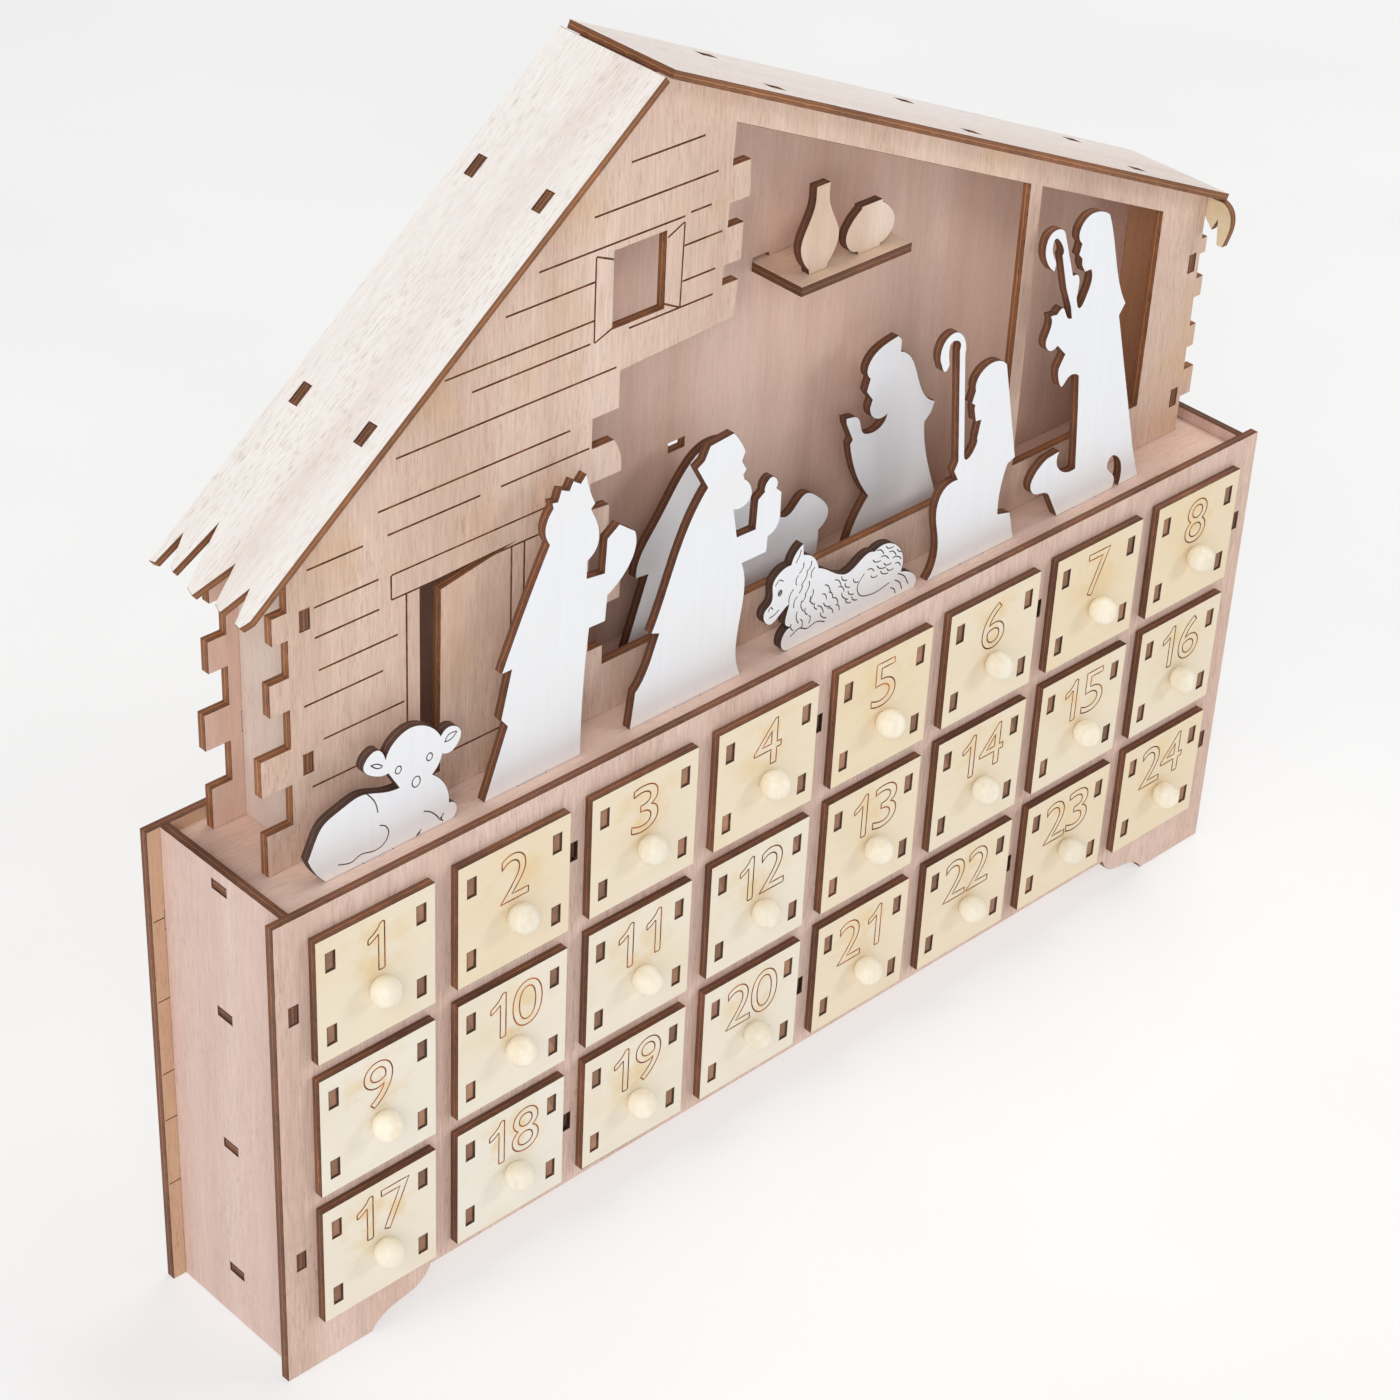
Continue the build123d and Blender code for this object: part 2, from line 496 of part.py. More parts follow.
FRONT_ROW = STABLE_FRONT - (FRONT_WALK + PLY) / 2
INNER_ROW = STABLE_INSIDE + (STABLE_DEPTH - PLY) / 2
WALL_TAB_PLACES = [along(share) for share in wall_tab_shares]


def top_board():
    """Board under the scene, slotted for the walls and figures."""
    board = level_board(BOARD_TOP)
    z_range = (BOARD_TOP - PLY - OVERRUN, BOARD_TOP + OVERRUN)
    slots = []
    for front in (STABLE_FRONT, STABLE_BACK):
        y_range = (front - TAB_CLEARANCE, front + PLY + TAB_CLEARANCE)
        slots += [block(around(x, SLOT_HALF), y_range, z_range) for x in WALL_TAB_PLACES]
    for front, entries in ((FRONT_ROW, front_row_shares), (INNER_ROW, inner_row_shares)):
        y_range = (front - TAB_CLEARANCE, front + PLY + TAB_CLEARANCE)
        for entry in entries.values():
            half = FIGURE_TAB / 2 + TAB_CLEARANCE
            slots.append(block(around(figure_place(entry)[2], half), y_range, z_range))
    return board - slots


def log_points(edge, logs, side):
    """Points up a wall's edge with log ends; side is -1 for left and 1 for right."""
    points = []
    for low, high, reach in logs:
        out = edge + side * reach * LOG_REACH
        points += [(edge, BOARD_TOP + low * EAVE_HEIGHT), (out, BOARD_TOP + low * EAVE_HEIGHT)]
        points += [(out, BOARD_TOP + high * EAVE_HEIGHT), (edge, BOARD_TOP + high * EAVE_HEIGHT)]
    return points


def roof_tab(x, slope, side):
    """Tab square to the roof's slope; side is -1 for the left slope and 1 for the right."""
    turned = Rot(0, 0, -side * math.degrees(slope))
    return Pos(x, roof_height(x)) * turned * Rectangle(TAB_LENGTH, 2 * ROOF_PLY)


def roof_tab_places():
    """Slope, side and place along the board of every roof tab."""
    left = [(LEFT_SLOPE, -1, RIDGE_X - share * (RIDGE_X - LEFT_EAVE_X)) for share in roof_left_tab_shares]
    right = [(RIGHT_SLOPE, 1, RIDGE_X + share * (RIGHT_EAVE_X - RIDGE_X)) for share in roof_right_tab_shares]
    return left + right


def wall_slots():
    """Slots in the long walls for the tabs of the two end walls."""
    slots = []
    for share, levels in zip(side_wall_shares, (left_wall_tab_shares, right_wall_tab_shares)):
        for level in levels:
            place = Pos(along(share), BOARD_TOP + level * EAVE_HEIGHT)
            slots.append(place * Rectangle(SLOT_WIDTH, SLOT_LENGTH))
    return slots


def long_wall(left_logs):
    """Outline of the stable's front or back wall, with tabs and slots."""
    left, right = [along(share) for share in wall_edge_shares]
    points = log_points(left, left_logs, -1)
    points += [(left, roof_height(left)), (RIDGE_X, RIDGE_Z), (right, roof_height(right))]
    points += log_points(right, right_log_shares, 1)[::-1]
    points.append((right, BOARD_TOP))
    tabs = [roof_tab(x, slope, side) for slope, side, x in roof_tab_places()]
    tabs += [cut_rectangle(around(x, TAB_HALF), (BOARD_TOP - PLY, BOARD_TOP + PLY)) for x in WALL_TAB_PLACES]
    return polygon(points[1:]) + tabs - wall_slots()


def on_wall(points, height):
    """Wall points from shares of the board length and a height."""
    return [(along(across), BOARD_TOP + up * height) for across, up in points]


def bay_top(x):
    """Top of the bays, a band under the roof."""
    return roof_height(x) - BAND_DROP


def main_bay():
    """Opening of the main bay with its broken-stone left edge."""
    sill = BOARD_TOP + SILL_HEIGHT
    low = on_wall(stone_low_shares, RIDGE_HEIGHT)
    rounded = on_wall(stone_round_shares, RIDGE_HEIGHT)
    high = on_wall(stone_high_shares, RIDGE_HEIGHT)
    top_left = along(stone_top_share)
    post = along(post_shares[0])
    high += [(top_left, bay_top(top_left)), (post, bay_top(post)), (post, sill), (low[0][0], sill), low[0]]
    return make_face([Polyline(*low), Spline(low[-1], *rounded), Polyline(rounded[-1], *high)])


def right_bay():
    """Opening between the post and the right end."""
    sill = BOARD_TOP + SILL_HEIGHT
    left = along(post_shares[1])
    top = along(right_bay_top_share)
    return polygon([(left, sill), (left, bay_top(left)), (top, bay_top(top)), (along(right_bay_foot_share), sill)])


def stable_front():
    """Front wall with window, door wedge, main bay and right bay."""
    window_x, window_z = window_shares
    window = cut_rectangle([along(share) for share in window_x],
                           [BOARD_TOP + share * RIDGE_HEIGHT for share in window_z])
    door = polygon(on_wall(door_wedge_shares, EAVE_HEIGHT))
    return upright(long_wall(front_log_shares) - [window, door, main_bay(), right_bay()], STABLE_FRONT)


SHELF_LEFT, SHELF_RIGHT = [along(share) for share in shelf_shares]
SHELF_WIDTH = SHELF_RIGHT - SHELF_LEFT
SHELF_TAB_PLACES = [end + inward * (TAB_HALF + shelf_tab_end_share * TAB_LENGTH)
                    for end, inward in ((SHELF_LEFT, 1), (SHELF_RIGHT, -1))]


def stable_back():
    """Back wall with slots for the wall shelf and one spare slot."""
    z_range = (SHELF_TOP - PLY - TAB_CLEARANCE, SHELF_TOP + SHELF_SLOT_PLAY)
    slots = [cut_rectangle(around(x, SLOT_HALF), z_range) for x in SHELF_TAB_PLACES]
    spare = BOARD_TOP + spare_slot_height_share * RIDGE_HEIGHT
    slots.append(cut_rectangle(around(along(spare_slot_share), SLOT_HALF), around(spare, SLOT_WIDTH / 2)))
    return upright(long_wall(back_log_shares) - slots, STABLE_BACK)


def stable_end_wall(share, levels):
    """End wall between the long walls, tabbed into both."""
    x_range = around(along(share), PLY / 2)
    top = min(roof_height(x) for x in x_range)
    wall = block(x_range, (STABLE_INSIDE, STABLE_BACK), (BOARD_TOP, top))
    tabs = [block(x_range, (STABLE_FRONT, STABLE_BACK + PLY), around(BOARD_TOP + level * EAVE_HEIGHT, TAB_HALF))
            for level in levels]
    return wall + tabs


def roof_slots(places, length):
    """Slots across a roof panel, in its own plane: distance down the slope and depth from the front."""
    slots = []
    for share in places:
        for front in (STABLE_FRONT, STABLE_BACK):
            centre = Pos(share * length, front + PLY / 2 - ROOF_FRONT)
            slots.append(centre * Rectangle(SLOT_LENGTH, SLOT_WIDTH))
    return slots


def roof_left():
    """Steep panel with a toothed eave."""
    teeth = [(down * LEFT_ROOF_LENGTH, (1 - depth) * ROOF_DEPTH) for down, depth in roof_tooth_shares]
    face = polygon([(RIDGE_SETBACK, 0), (RIDGE_SETBACK, ROOF_DEPTH)] + teeth)
    face = face - roof_slots(roof_left_tab_shares, LEFT_ROOF_LENGTH)
    plane = Plane(origin=(RIDGE_X, ROOF_FRONT, RIDGE_Z),
                  x_dir=(-math.cos(LEFT_SLOPE), 0, -math.sin(LEFT_SLOPE)),
                  z_dir=(math.sin(LEFT_SLOPE), 0, -math.cos(LEFT_SLOPE)))
    return extrude(plane * face, amount=-ROOF_PLY)


def roof_right():
    """Shallow panel from the ridge to the right eave."""
    face = cut_rectangle((0, RIGHT_ROOF_LENGTH), (0, ROOF_DEPTH))
    face = face - roof_slots(roof_right_tab_shares, RIGHT_ROOF_LENGTH)
    plane = Plane(origin=(RIDGE_X, ROOF_FRONT, RIDGE_Z),
                  x_dir=(math.cos(RIGHT_SLOPE), 0, -math.sin(RIGHT_SLOPE)),
                  z_dir=(math.sin(RIGHT_SLOPE), 0, math.cos(RIGHT_SLOPE)))
    return extrude(plane * face, amount=ROOF_PLY)


def eave_fringe():
    """Toothed strip under the right end of the roof, against the ends of the long walls."""
    inner = along(wall_edge_shares[1]) + TAB_CLEARANCE

    def place(point):
        drop, depth = point
        return (ROOF_BACK - depth * ROOF_DEPTH, EAVE_Z - drop * FRINGE_DROP)

    front = Spline(place((0, 1)), *[place(point) for point in fringe_front_shares])
    teeth = [place(point) for point in fringe_tooth_shares]
    rest = Polyline(place(fringe_front_shares[-1]), *teeth, place((0, 0)), place((0, 1)))
    plane = Plane(origin=(inner, 0, 0), x_dir=(0, 1, 0), z_dir=(1, 0, 0))
    return extrude(plane * make_face([front, rest]), amount=ROOF_PLY)


def wall_shelf():
    """Shelf on the back wall with two tabs through it."""
    z_range = (SHELF_TOP - PLY, SHELF_TOP)
    board = block((SHELF_LEFT, SHELF_RIGHT), (SHELF_FRONT, STABLE_BACK), z_range)
    tabs = [block(around(x, TAB_HALF), (STABLE_BACK, STABLE_BACK + PLY), z_range) for x in SHELF_TAB_PLACES]
    return board + tabs


def shelf_piece(share, width, height, runs):
    """Flat vessel standing on the wall shelf."""
    left = SHELF_LEFT + share * SHELF_WIDTH - width / 2
    return upright(run_outline(runs, left, SHELF_TOP, width, height), SHELF_FRONT + VASE_SETBACK)


PLATE_BACK = FRONT_FACE - REST_CLEARANCE
PLATE_FRONT = PLATE_BACK - PLY
BOX_BACK = BACK_FACE - DRAWER_BACK_GAP


def drawer(column, row):
    """Drawer of six pieces: front plate, two sides, back, floor and ball knob."""
    x = column_middle(column)
    box_low = shelf_level(row) + REST_CLEARANCE
    box_high = box_low + BOX_HEIGHT
    plate_x = around(x, DRAWER_FRONT_WIDTH / 2)
    plate_z = (box_low - DRAWER_LIP_BOTTOM, box_high + DRAWER_LIP_TOP)
    half = BOX_WIDTH / 2
    inner = half - PLY
    levels = [box_low + share * BOX_HEIGHT for share in drawer_tab_height_shares]
    slots = [block(around(x + side * (half - PLY / 2), SLOT_WIDTH / 2),
                   (PLATE_FRONT - OVERRUN, PLATE_BACK + OVERRUN), around(level, SLOT_HALF))
             for side in (-1, 1) for level in levels]
    plate = block(plate_x, (PLATE_FRONT, PLATE_BACK), plate_z) - slots
    sides = []
    for side in (-1, 1):
        side_x = tuple(sorted((x + side * inner, x + side * half)))
        panel = block(side_x, (PLATE_BACK, BOX_BACK), (box_low, box_high))
        tabs = [block(side_x, (PLATE_FRONT, PLATE_BACK), around(level, TAB_HALF)) for level in levels]
        sides.append(panel + tabs)
    back = block(around(x, inner), (BOX_BACK - PLY, BOX_BACK), (box_low, box_high))
    floor = block(around(x, inner), (PLATE_BACK, BOX_BACK - PLY), (box_low, box_low + PLY))
    radius = KNOB_DIAMETER / 2
    knob_z = middle(*plate_z) - KNOB_DROP
    ball = Pos(x, PLATE_FRONT - radius + KNOB_SEAT, knob_z) * Sphere(radius)
    behind = block(around(x, KNOB_DIAMETER), (PLATE_FRONT, PLATE_FRONT + KNOB_DIAMETER),
                   around(knob_z, KNOB_DIAMETER))
    return Compound([piece.solid() for piece in (plate, *sides, back, floor, ball - behind)])


def build():
    """All pieces by node name."""
    pieces = {
        "cabinet_front": cabinet_front(),
        "cabinet_left_side": cabinet_side(-1),
        "cabinet_right_side": cabinet_side(1),
        "cabinet_back": cabinet_back(),
        "top_board": top_board(),
        "upper_drawer_shelf": drawer_shelf(0),
        "lower_drawer_shelf": drawer_shelf(1),
        "cabinet_floor": level_board(shelf_level(ROWS - 1)),
        "stable_front": stable_front(),
        "stable_back": stable_back(),
        "stable_left_wall": stable_end_wall(side_wall_shares[0], left_wall_tab_shares),
        "stable_right_wall": stable_end_wall(side_wall_shares[1], right_wall_tab_shares),
        "roof_left": roof_left(),
        "roof_right": roof_right(),
        "eave_fringe": eave_fringe(),
        "wall_shelf": wall_shelf(),
        "bottle_vase": shelf_piece(vase_share, VASE_WIDTH, VASE_HEIGHT, vase_shares),
        "round_pot": shelf_piece(pot_share, POT_WIDTH, POT_HEIGHT, pot_shares)}
    for name, x in zip(("left", "middle", "right"), DIVIDER_PLACES):
        pieces["column_divider_" + name] = column_divider(x)
    for name, entry in front_row_shares.items():
        pieces[name] = figure(entry, FRONT_ROW)
    for name, entry in inner_row_shares.items():
        pieces[name] = figure(entry, INNER_ROW)
    for row in range(ROWS):
        for column in range(COLUMNS):
            pieces[f"drawer_{row * COLUMNS + column + 1:02d}"] = drawer(column, row)
    return pieces


os.makedirs("parts", exist_ok=True)
for node, shape in build().items():
    export_step(shape, os.path.join("parts", node + ".step"))
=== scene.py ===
"""Looks of a drawer-type advent calendar: scorched plywood, engraved numerals and painted cut-outs."""

import logging
import math
import random
from dataclasses import dataclass, field
from enum import Enum, IntEnum
from typing import Callable, Optional, Sequence, Union

import bmesh
import bpy
from mathutils import Matrix, Vector


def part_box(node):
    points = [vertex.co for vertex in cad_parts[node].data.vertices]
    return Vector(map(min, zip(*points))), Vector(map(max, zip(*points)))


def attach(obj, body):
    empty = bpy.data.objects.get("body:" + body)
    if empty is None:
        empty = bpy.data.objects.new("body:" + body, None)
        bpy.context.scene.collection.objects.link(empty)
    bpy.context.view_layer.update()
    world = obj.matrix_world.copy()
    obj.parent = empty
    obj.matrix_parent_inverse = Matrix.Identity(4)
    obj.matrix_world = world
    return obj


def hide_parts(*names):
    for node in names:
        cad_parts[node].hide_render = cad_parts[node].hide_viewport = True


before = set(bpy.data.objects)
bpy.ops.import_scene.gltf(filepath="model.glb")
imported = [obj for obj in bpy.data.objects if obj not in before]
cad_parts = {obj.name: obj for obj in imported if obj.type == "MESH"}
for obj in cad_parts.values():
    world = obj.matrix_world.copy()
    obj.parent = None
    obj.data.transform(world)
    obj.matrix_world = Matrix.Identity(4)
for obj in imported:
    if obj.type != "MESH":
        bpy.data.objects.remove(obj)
log = logging.getLogger("advent_calendar")

MM = 0.001
SEED = 24
MERGE_DISTANCE = 1e-6
FLAT_ANGLE = math.radians(0.2)
FACING = 0.9
SQUARE_ON = 0.1
UPRIGHT = (math.pi / 2, 0.0, 0.0)
USUAL_NOISE = (0.3, 0.7)
WHOLE = (0.0, 1.0)
WHITE = (1.0, 1.0, 1.0, 1.0)
CUTTER_INPUTS = {"Line Width": "Float", "Place": "Vector", "Material": "Material"}
FIXED_BODY = "cabinet"

Display = tuple[int, int, int]
Colour = tuple[float, float, float, float]
Place = tuple[float, float]
Spot = tuple[float, float, float]
Stroke = Sequence[Place]
Socket = bpy.types.NodeSocket
Value = Union[float, str, Sequence[float], Socket]
Material = bpy.types.Material
Mesh = bpy.types.Mesh
Shape = bmesh.types.BMesh
Face = bmesh.types.BMFace


def linear(colour: Display) -> Colour:
    """Linear colour of an 8-bit display colour.

    Args:
        colour: red, green and blue, from 0 to 255.

    Returns:
        The colour as linear red, green and blue, and a full alpha.
    """
    shares = [value / 255 for value in colour]
    channels = [share / 12.92 if share <= 0.04045 else ((share + 0.055) / 1.055) ** 2.4 for share in shares]
    return (*channels, 1.0)


class Axis(Enum):
    """A direction of the part's frame: the way that fibres run, or a sheet's thickness."""

    X = 0
    Y = 1
    Z = 2

    def vector(self) -> Vector:
        """Unit vector along the axis."""
        return Vector(self.scales(1.0, 0.0))

    def scales(self, along: float, across: float) -> list[float]:
        """One value along the axis and another across it, as X, Y and Z."""
        return [along if index == self.value else across for index in range(3)]


class Slot(Enum):
    """Names of the material slots."""

    PLYWOOD = "plywood"
    PAINTED = "white_painted_plywood"
    DRAWER = "cream_drawer_wood"


class Layer(IntEnum):
    """Material numbers of a finished piece; a plain sheet ends with its tab rims."""

    FACE = 0
    EDGE = 1
    TAB_END = 2
    TAB_RIM = 3
    LINE = 4
    TRAY = 5
    BALL = 6


class NodeDesk:
    """Adds and links the nodes of one tree."""

    def __init__(self, tree: bpy.types.NodeTree) -> None:
        """Takes the tree to work on."""
        self.tree = tree

    def add(self, kind: str, sockets: Optional[dict] = None, output: Union[int, str] = 0,
            **settings: object) -> Socket:
        """Adds a node.

        Args:
            kind: the node's type name.
            sockets: input name or number to a value, or to the socket that feeds it.
            output: name or number of the output to hand back.
            settings: the node's own properties.

        Returns:
            The output of the new node.
        """
        node = self.tree.nodes.new(kind)
        for key, value in settings.items():
            setattr(node, key, value)
        for key, value in (sockets or {}).items():
            self.feed(node.inputs[key], value)
        return node.outputs[output]

    def feed(self, socket: Socket, value: Value) -> None:
        """Links or sets one input.

        Args:
            socket: the input.
            value: its value, or the socket that feeds it.
        """
        if isinstance(value, Socket):
            self.tree.links.new(value, socket)
        else:
            socket.default_value = value


@dataclass(frozen=True)
class Pattern:
    """Noise: repeats per metre along the grain and across it, its finer octaves and their weight."""

    along: float
    across: float
    detail: float = 2.0
    roughness: float = 0.55


class ShaderDesk(NodeDesk):
    """Adds and links the nodes of one material."""

    def __init__(self, name: str) -> None:
        """Starts a material with a bare surface shader.

        Args:
            name: the material's name.
        """
        self.material = bpy.data.materials.new(name)
        self.material.use_nodes = True
        super().__init__(self.material.node_tree)
        self.surface = self.tree.nodes["Principled BSDF"].inputs

    def attribute(self, name: str, output: str = "Fac") -> Socket:
        """Value of one of the piece's own attributes."""
        return self.add("ShaderNodeAttribute", None, output, attribute_name=name)

    def place(self, tilt: float = 0.0) -> Socket:
        """Object coordinates.

        Args:
            tilt: turn about Y.

        Returns:
            The turned coordinates.
        """
        coordinates = self.add("ShaderNodeTexCoord", None, "Object")
        if tilt == 0.0:
            return coordinates
        return self.add("ShaderNodeMapping", {"Vector": coordinates, "Rotation": (0.0, tilt, 0.0)})

    def noise(self, place: Socket, pattern: Pattern, grain: Axis = Axis.Z) -> Socket:
        """Noise with its own scale along the grain.

        Args:
            place: coordinates to read.
            pattern: scales and octaves.
            grain: the way that the pattern runs.

        Returns:
            The noise value, about 0.5 in the middle.
        """
        scales = grain.scales(pattern.along, pattern.across)
        scaled_place = self.add("ShaderNodeMapping", {"Vector": place, "Scale": scales})
        sockets = {"Vector": scaled_place, "Scale": 1.0, "Detail": pattern.detail,
                   "Roughness": pattern.roughness}
        return self.add("ShaderNodeTexNoise", sockets, "Fac")

    def ramp(self, factor: Socket, places: Sequence[float], colours: Sequence[Display]) -> Socket:
        """Colour ramp.

        Args:
            factor: what picks the colour.
            places: places of the stops, from low to high.
            colours: colour of each stop.

        Returns:
            The picked colour.
        """
        picked = self.add("ShaderNodeValToRGB", {"Fac": factor})
        elements = picked.node.color_ramp.elements
        while len(elements) < len(places):
            elements.new(1.0)
        for element, place, colour in zip(elements, places, colours):
            element.position = place
            element.color = linear(colour)
        return picked

    def remap(self, value: Socket, target: Place, source: Place = USUAL_NOISE) -> Socket:
        """Linear, clamped change of range."""
        sockets = {"Value": value, 1: source[0], 2: source[1], 3: target[0], 4: target[1]}
        return self.add("ShaderNodeMapRange", sockets, "Result")

    def mix(self, factor: Socket, first: Union[Socket, Display], second: Display) -> Socket:
        """Mix of two colours."""
        start = first if isinstance(first, Socket) else linear(first)
        return self.add("ShaderNodeMix", {0: factor, 6: start, 7: linear(second)}, 2, data_type="RGBA")

    def shade(self, colour: Socket, value: Socket, target: Place, source: Place = USUAL_NOISE) -> Socket:
        """Colour with its brightness multiplied by a value, which is brought to the target range."""
        factor = self.remap(value, target, source)
        return self.add("ShaderNodeHueSaturation", {"Color": colour, "Value": factor})

    def tone(self, colour: Socket, target: Place) -> Socket:
        """Colour made darker or paler by the piece's tone attribute."""
        return self.shade(colour, self.attribute("tone"), target, WHOLE)

    def math(self, operation: str, first: Value, second: Value) -> Socket:
        """One sum of two values."""
        return self.add("ShaderNodeMath", {0: first, 1: second}, operation=operation)

    def finish(self, colour: Socket, roughness: Value, height: Optional[Socket] = None,
               bump: float = 0.1, relief: float = 0.1 * MM) -> Material:
        """Connects the surface.

        Args:
            colour: base colour.
            roughness: surface roughness.
            height: pattern that stands up from the surface.
            bump: strength of that pattern.
            relief: its height in metres.

        Returns:
            The finished material.
        """
        self.feed(self.surface["Base Color"], colour)
        self.feed(self.surface["Roughness"], roughness)
        if height is not None:
            sockets = {"Height": height, "Strength": bump, "Distance": relief}
            self.feed(self.surface["Normal"], self.add("ShaderNodeBump", sockets))
        return self.material


@dataclass(frozen=True)
class VeneerFinish:
    """Raw plywood face: broad tone bands, fine fibres and short dark pores along the grain."""

    name: str
    pale: Display
    base: Display
    deep: Display
    pore: Display
    grain: Axis = Axis.Z
    tilt: float = 0.0
    pore_share: float = 0.3
    fibre_share: float = 0.05
    smoke_share: float = 0.0
    smoke: Display = (204, 164, 112)
    smoke_from: Place = (0.54, 0.76)
    pore_from: Place = (0.56, 0.68)
    cluster_from: Place = (0.38, 0.62)
    cluster_weights: Place = (0.35, 1.0)
    band_places: Spot = (0.36, 0.5, 0.66)
    tones: Place = (0.95, 1.05)
    roughness: Place = (0.60, 0.72)
    bands: Pattern = Pattern(2.6, 38.0, 5.0, 0.6)
    fibres: Pattern = Pattern(85.0, 1300.0, 4.0, 0.68)
    dashes: Pattern = Pattern(260.0, 2300.0, 1.0)
    clusters: Pattern = Pattern(22.0, 70.0)
    haze: Pattern = Pattern(30.0, 30.0)

    def material(self) -> Material:
        """Builds the veneer's material.

        Returns:
            The material.
        """
        desk = ShaderDesk(self.name)
        place = desk.place(self.tilt)
        patterns = (self.bands, self.fibres, self.dashes, self.clusters, self.haze)
        bands, fibres, dashes, clusters, haze = (desk.noise(place, item, self.grain) for item in patterns)
        colour = desk.ramp(bands, self.band_places, (self.deep, self.base, self.pale))
        smoke = desk.remap(haze, (0.0, self.smoke_share), self.smoke_from)
        colour = desk.mix(smoke, colour, self.smoke)
        colour = desk.shade(colour, fibres, (1 - self.fibre_share, 1 + self.fibre_share))
        pores = desk.remap(dashes, (0.0, self.pore_share), self.pore_from)
        weights = desk.remap(clusters, self.cluster_weights, self.cluster_from)
        pores = desk.math("MULTIPLY", pores, weights)
        colour = desk.tone(desk.mix(pores, colour, self.pore), self.tones)
        height = desk.math("SUBTRACT", fibres, pores)
        roughness = desk.remap(fibres, self.roughness)
        return desk.finish(colour, roughness, height, bump=0.22, relief=0.12 * MM)


@dataclass(frozen=True)
class ScorchFinish:
    """Laser-browned edge of a plywood sheet, with the glue lines of its layers."""

    name: str
    pale: Display
    base: Display
    dark: Display
    tones: Place = (0.86, 1.14)
    ply_places: tuple[float, ...] = (0.0, 0.10, 0.30, 0.36, 0.42, 0.60, 0.66, 0.72, 0.90, 1.0)
    waver: float = 0.06
    patch_from: Place = (0.35, 0.65)
    patch_shades: Place = (0.80, 1.12)
    grain_shades: Place = (0.88, 1.10)
    roughness: float = 0.78
    grain: Pattern = Pattern(420.0, 420.0)
    patches: Pattern = Pattern(45.0, 45.0)

    def material(self) -> Material:
        """Builds the edge's material, which reads the depth attribute across the sheet.

        Returns:
            The material.
        """
        desk = ShaderDesk(self.name)
        place = desk.place()
        grain, patches = desk.noise(place, self.grain), desk.noise(place, self.patches)
        waver = desk.remap(grain, (-self.waver, self.waver))
        depth = desk.math("ADD", desk.attribute("depth"), waver)
        outer = (self.dark, self.base, self.base, self.dark)
        colour = desk.ramp(depth, self.ply_places, (*outer, self.pale, self.pale, *outer))
        colour = desk.shade(colour, patches, self.patch_shades, self.patch_from)
        colour = desk.tone(desk.shade(colour, grain, self.grain_shades), self.tones)
        return desk.finish(colour, self.roughness, grain, bump=0.35, relief=0.15 * MM)


@dataclass(frozen=True)
class PaintFinish:
    """Even coat over veneer, with faint warm smoke stains and the grain just telling through.

    A foot makes the coat warmer and darker just above that level. A halo share above 0 adds smoke round the
    engraving, whose distance the halo attribute gives.
    """

    name: str
    coat: Display
    light_coat: Display
    stain: Display
    stain_share: float
    grain: Axis
    roughness: float = 0.48
    foot: Optional[float] = None
    foot_reach: float = 9 * MM
    foot_share: float = 0.3
    halo_share: float = 0.0
    halo_from: Place = (0.35, 1.0)
    wisp_from: Place = (0.42, 0.66)
    stain_from: Place = (0.52, 0.74)
    fibre_shades: Place = (0.985, 1.012)
    speckle_share: float = 0.3
    clouds: Pattern = Pattern(34.0, 34.0)
    fibres: Pattern = Pattern(26.0, 620.0)
    speckle: Pattern = Pattern(900.0, 900.0, 1.0)
    wisps: Pattern = Pattern(130.0, 130.0)

    def material(self) -> Material:
        """Builds the paint's material.

        Returns:
            The material.
        """
        desk = ShaderDesk(self.name)
        place = desk.place()
        patterns = (self.clouds, self.fibres, self.speckle)
        clouds, fibres, speckle = (desk.noise(place, item, self.grain) for item in patterns)
        smoke = desk.remap(clouds, (0.0, self.stain_share), self.stain_from)
        # Warmer, darker coat towards the foot, fading over the foot reach.
        if self.foot is not None:
            level = desk.add("ShaderNodeSeparateXYZ", {"Vector": place}, "Z")
            low = desk.remap(level, (self.foot_share, 0.0), (self.foot, self.foot + self.foot_reach))
            smoke = desk.math("MAXIMUM", smoke, desk.math("MULTIPLY", low, clouds))
        if self.halo_share > 0.0:
            offset = desk.attribute("halo", "Vector")
            away = desk.add("ShaderNodeVectorMath", {0: offset}, "Value", operation="LENGTH")
            halo = desk.remap(away, (self.halo_share, 0.0), self.halo_from)
            wisps = desk.remap(desk.noise(place, self.wisps), WHOLE, self.wisp_from)
            smoke = desk.math("MAXIMUM", smoke, desk.math("MULTIPLY", halo, wisps))
        colour = desk.mix(desk.attribute("tone"), self.coat, self.light_coat)
        colour = desk.shade(desk.mix(smoke, colour, self.stain), fibres, self.fibre_shades)
        height = desk.math("ADD", fibres, desk.math("MULTIPLY", speckle, self.speckle_share))
        return desk.finish(colour, self.roughness, height, bump=0.12, relief=0.08 * MM)


@dataclass(frozen=True)
class TurnedFinish:
    """Turned ball of pale wood: faint growth rings and a satin surface."""

    name: str
    pale: Display
    deep: Display
    ring_places: Place = (0.32, 0.62)
    fibre_shades: Place = (0.97, 1.03)
    tones: Place = (0.94, 1.04)
    roughness: float = 0.42
    rings: Pattern = Pattern(60.0, 300.0, 1.0)
    fibres: Pattern = Pattern(120.0, 1600.0)

    def material(self) -> Material:
        """Builds the ball's material.

        Returns:
            The material.
        """
        desk = ShaderDesk(self.name)
        place = desk.place()
        rings, fibres = desk.noise(place, self.rings), desk.noise(place, self.fibres)
        colour = desk.ramp(rings, self.ring_places, (self.deep, self.pale))
        colour = desk.tone(desk.shade(colour, fibres, self.fibre_shades), self.tones)
        return desk.finish(colour, self.roughness, fibres, bump=0.08, relief=0.06 * MM)


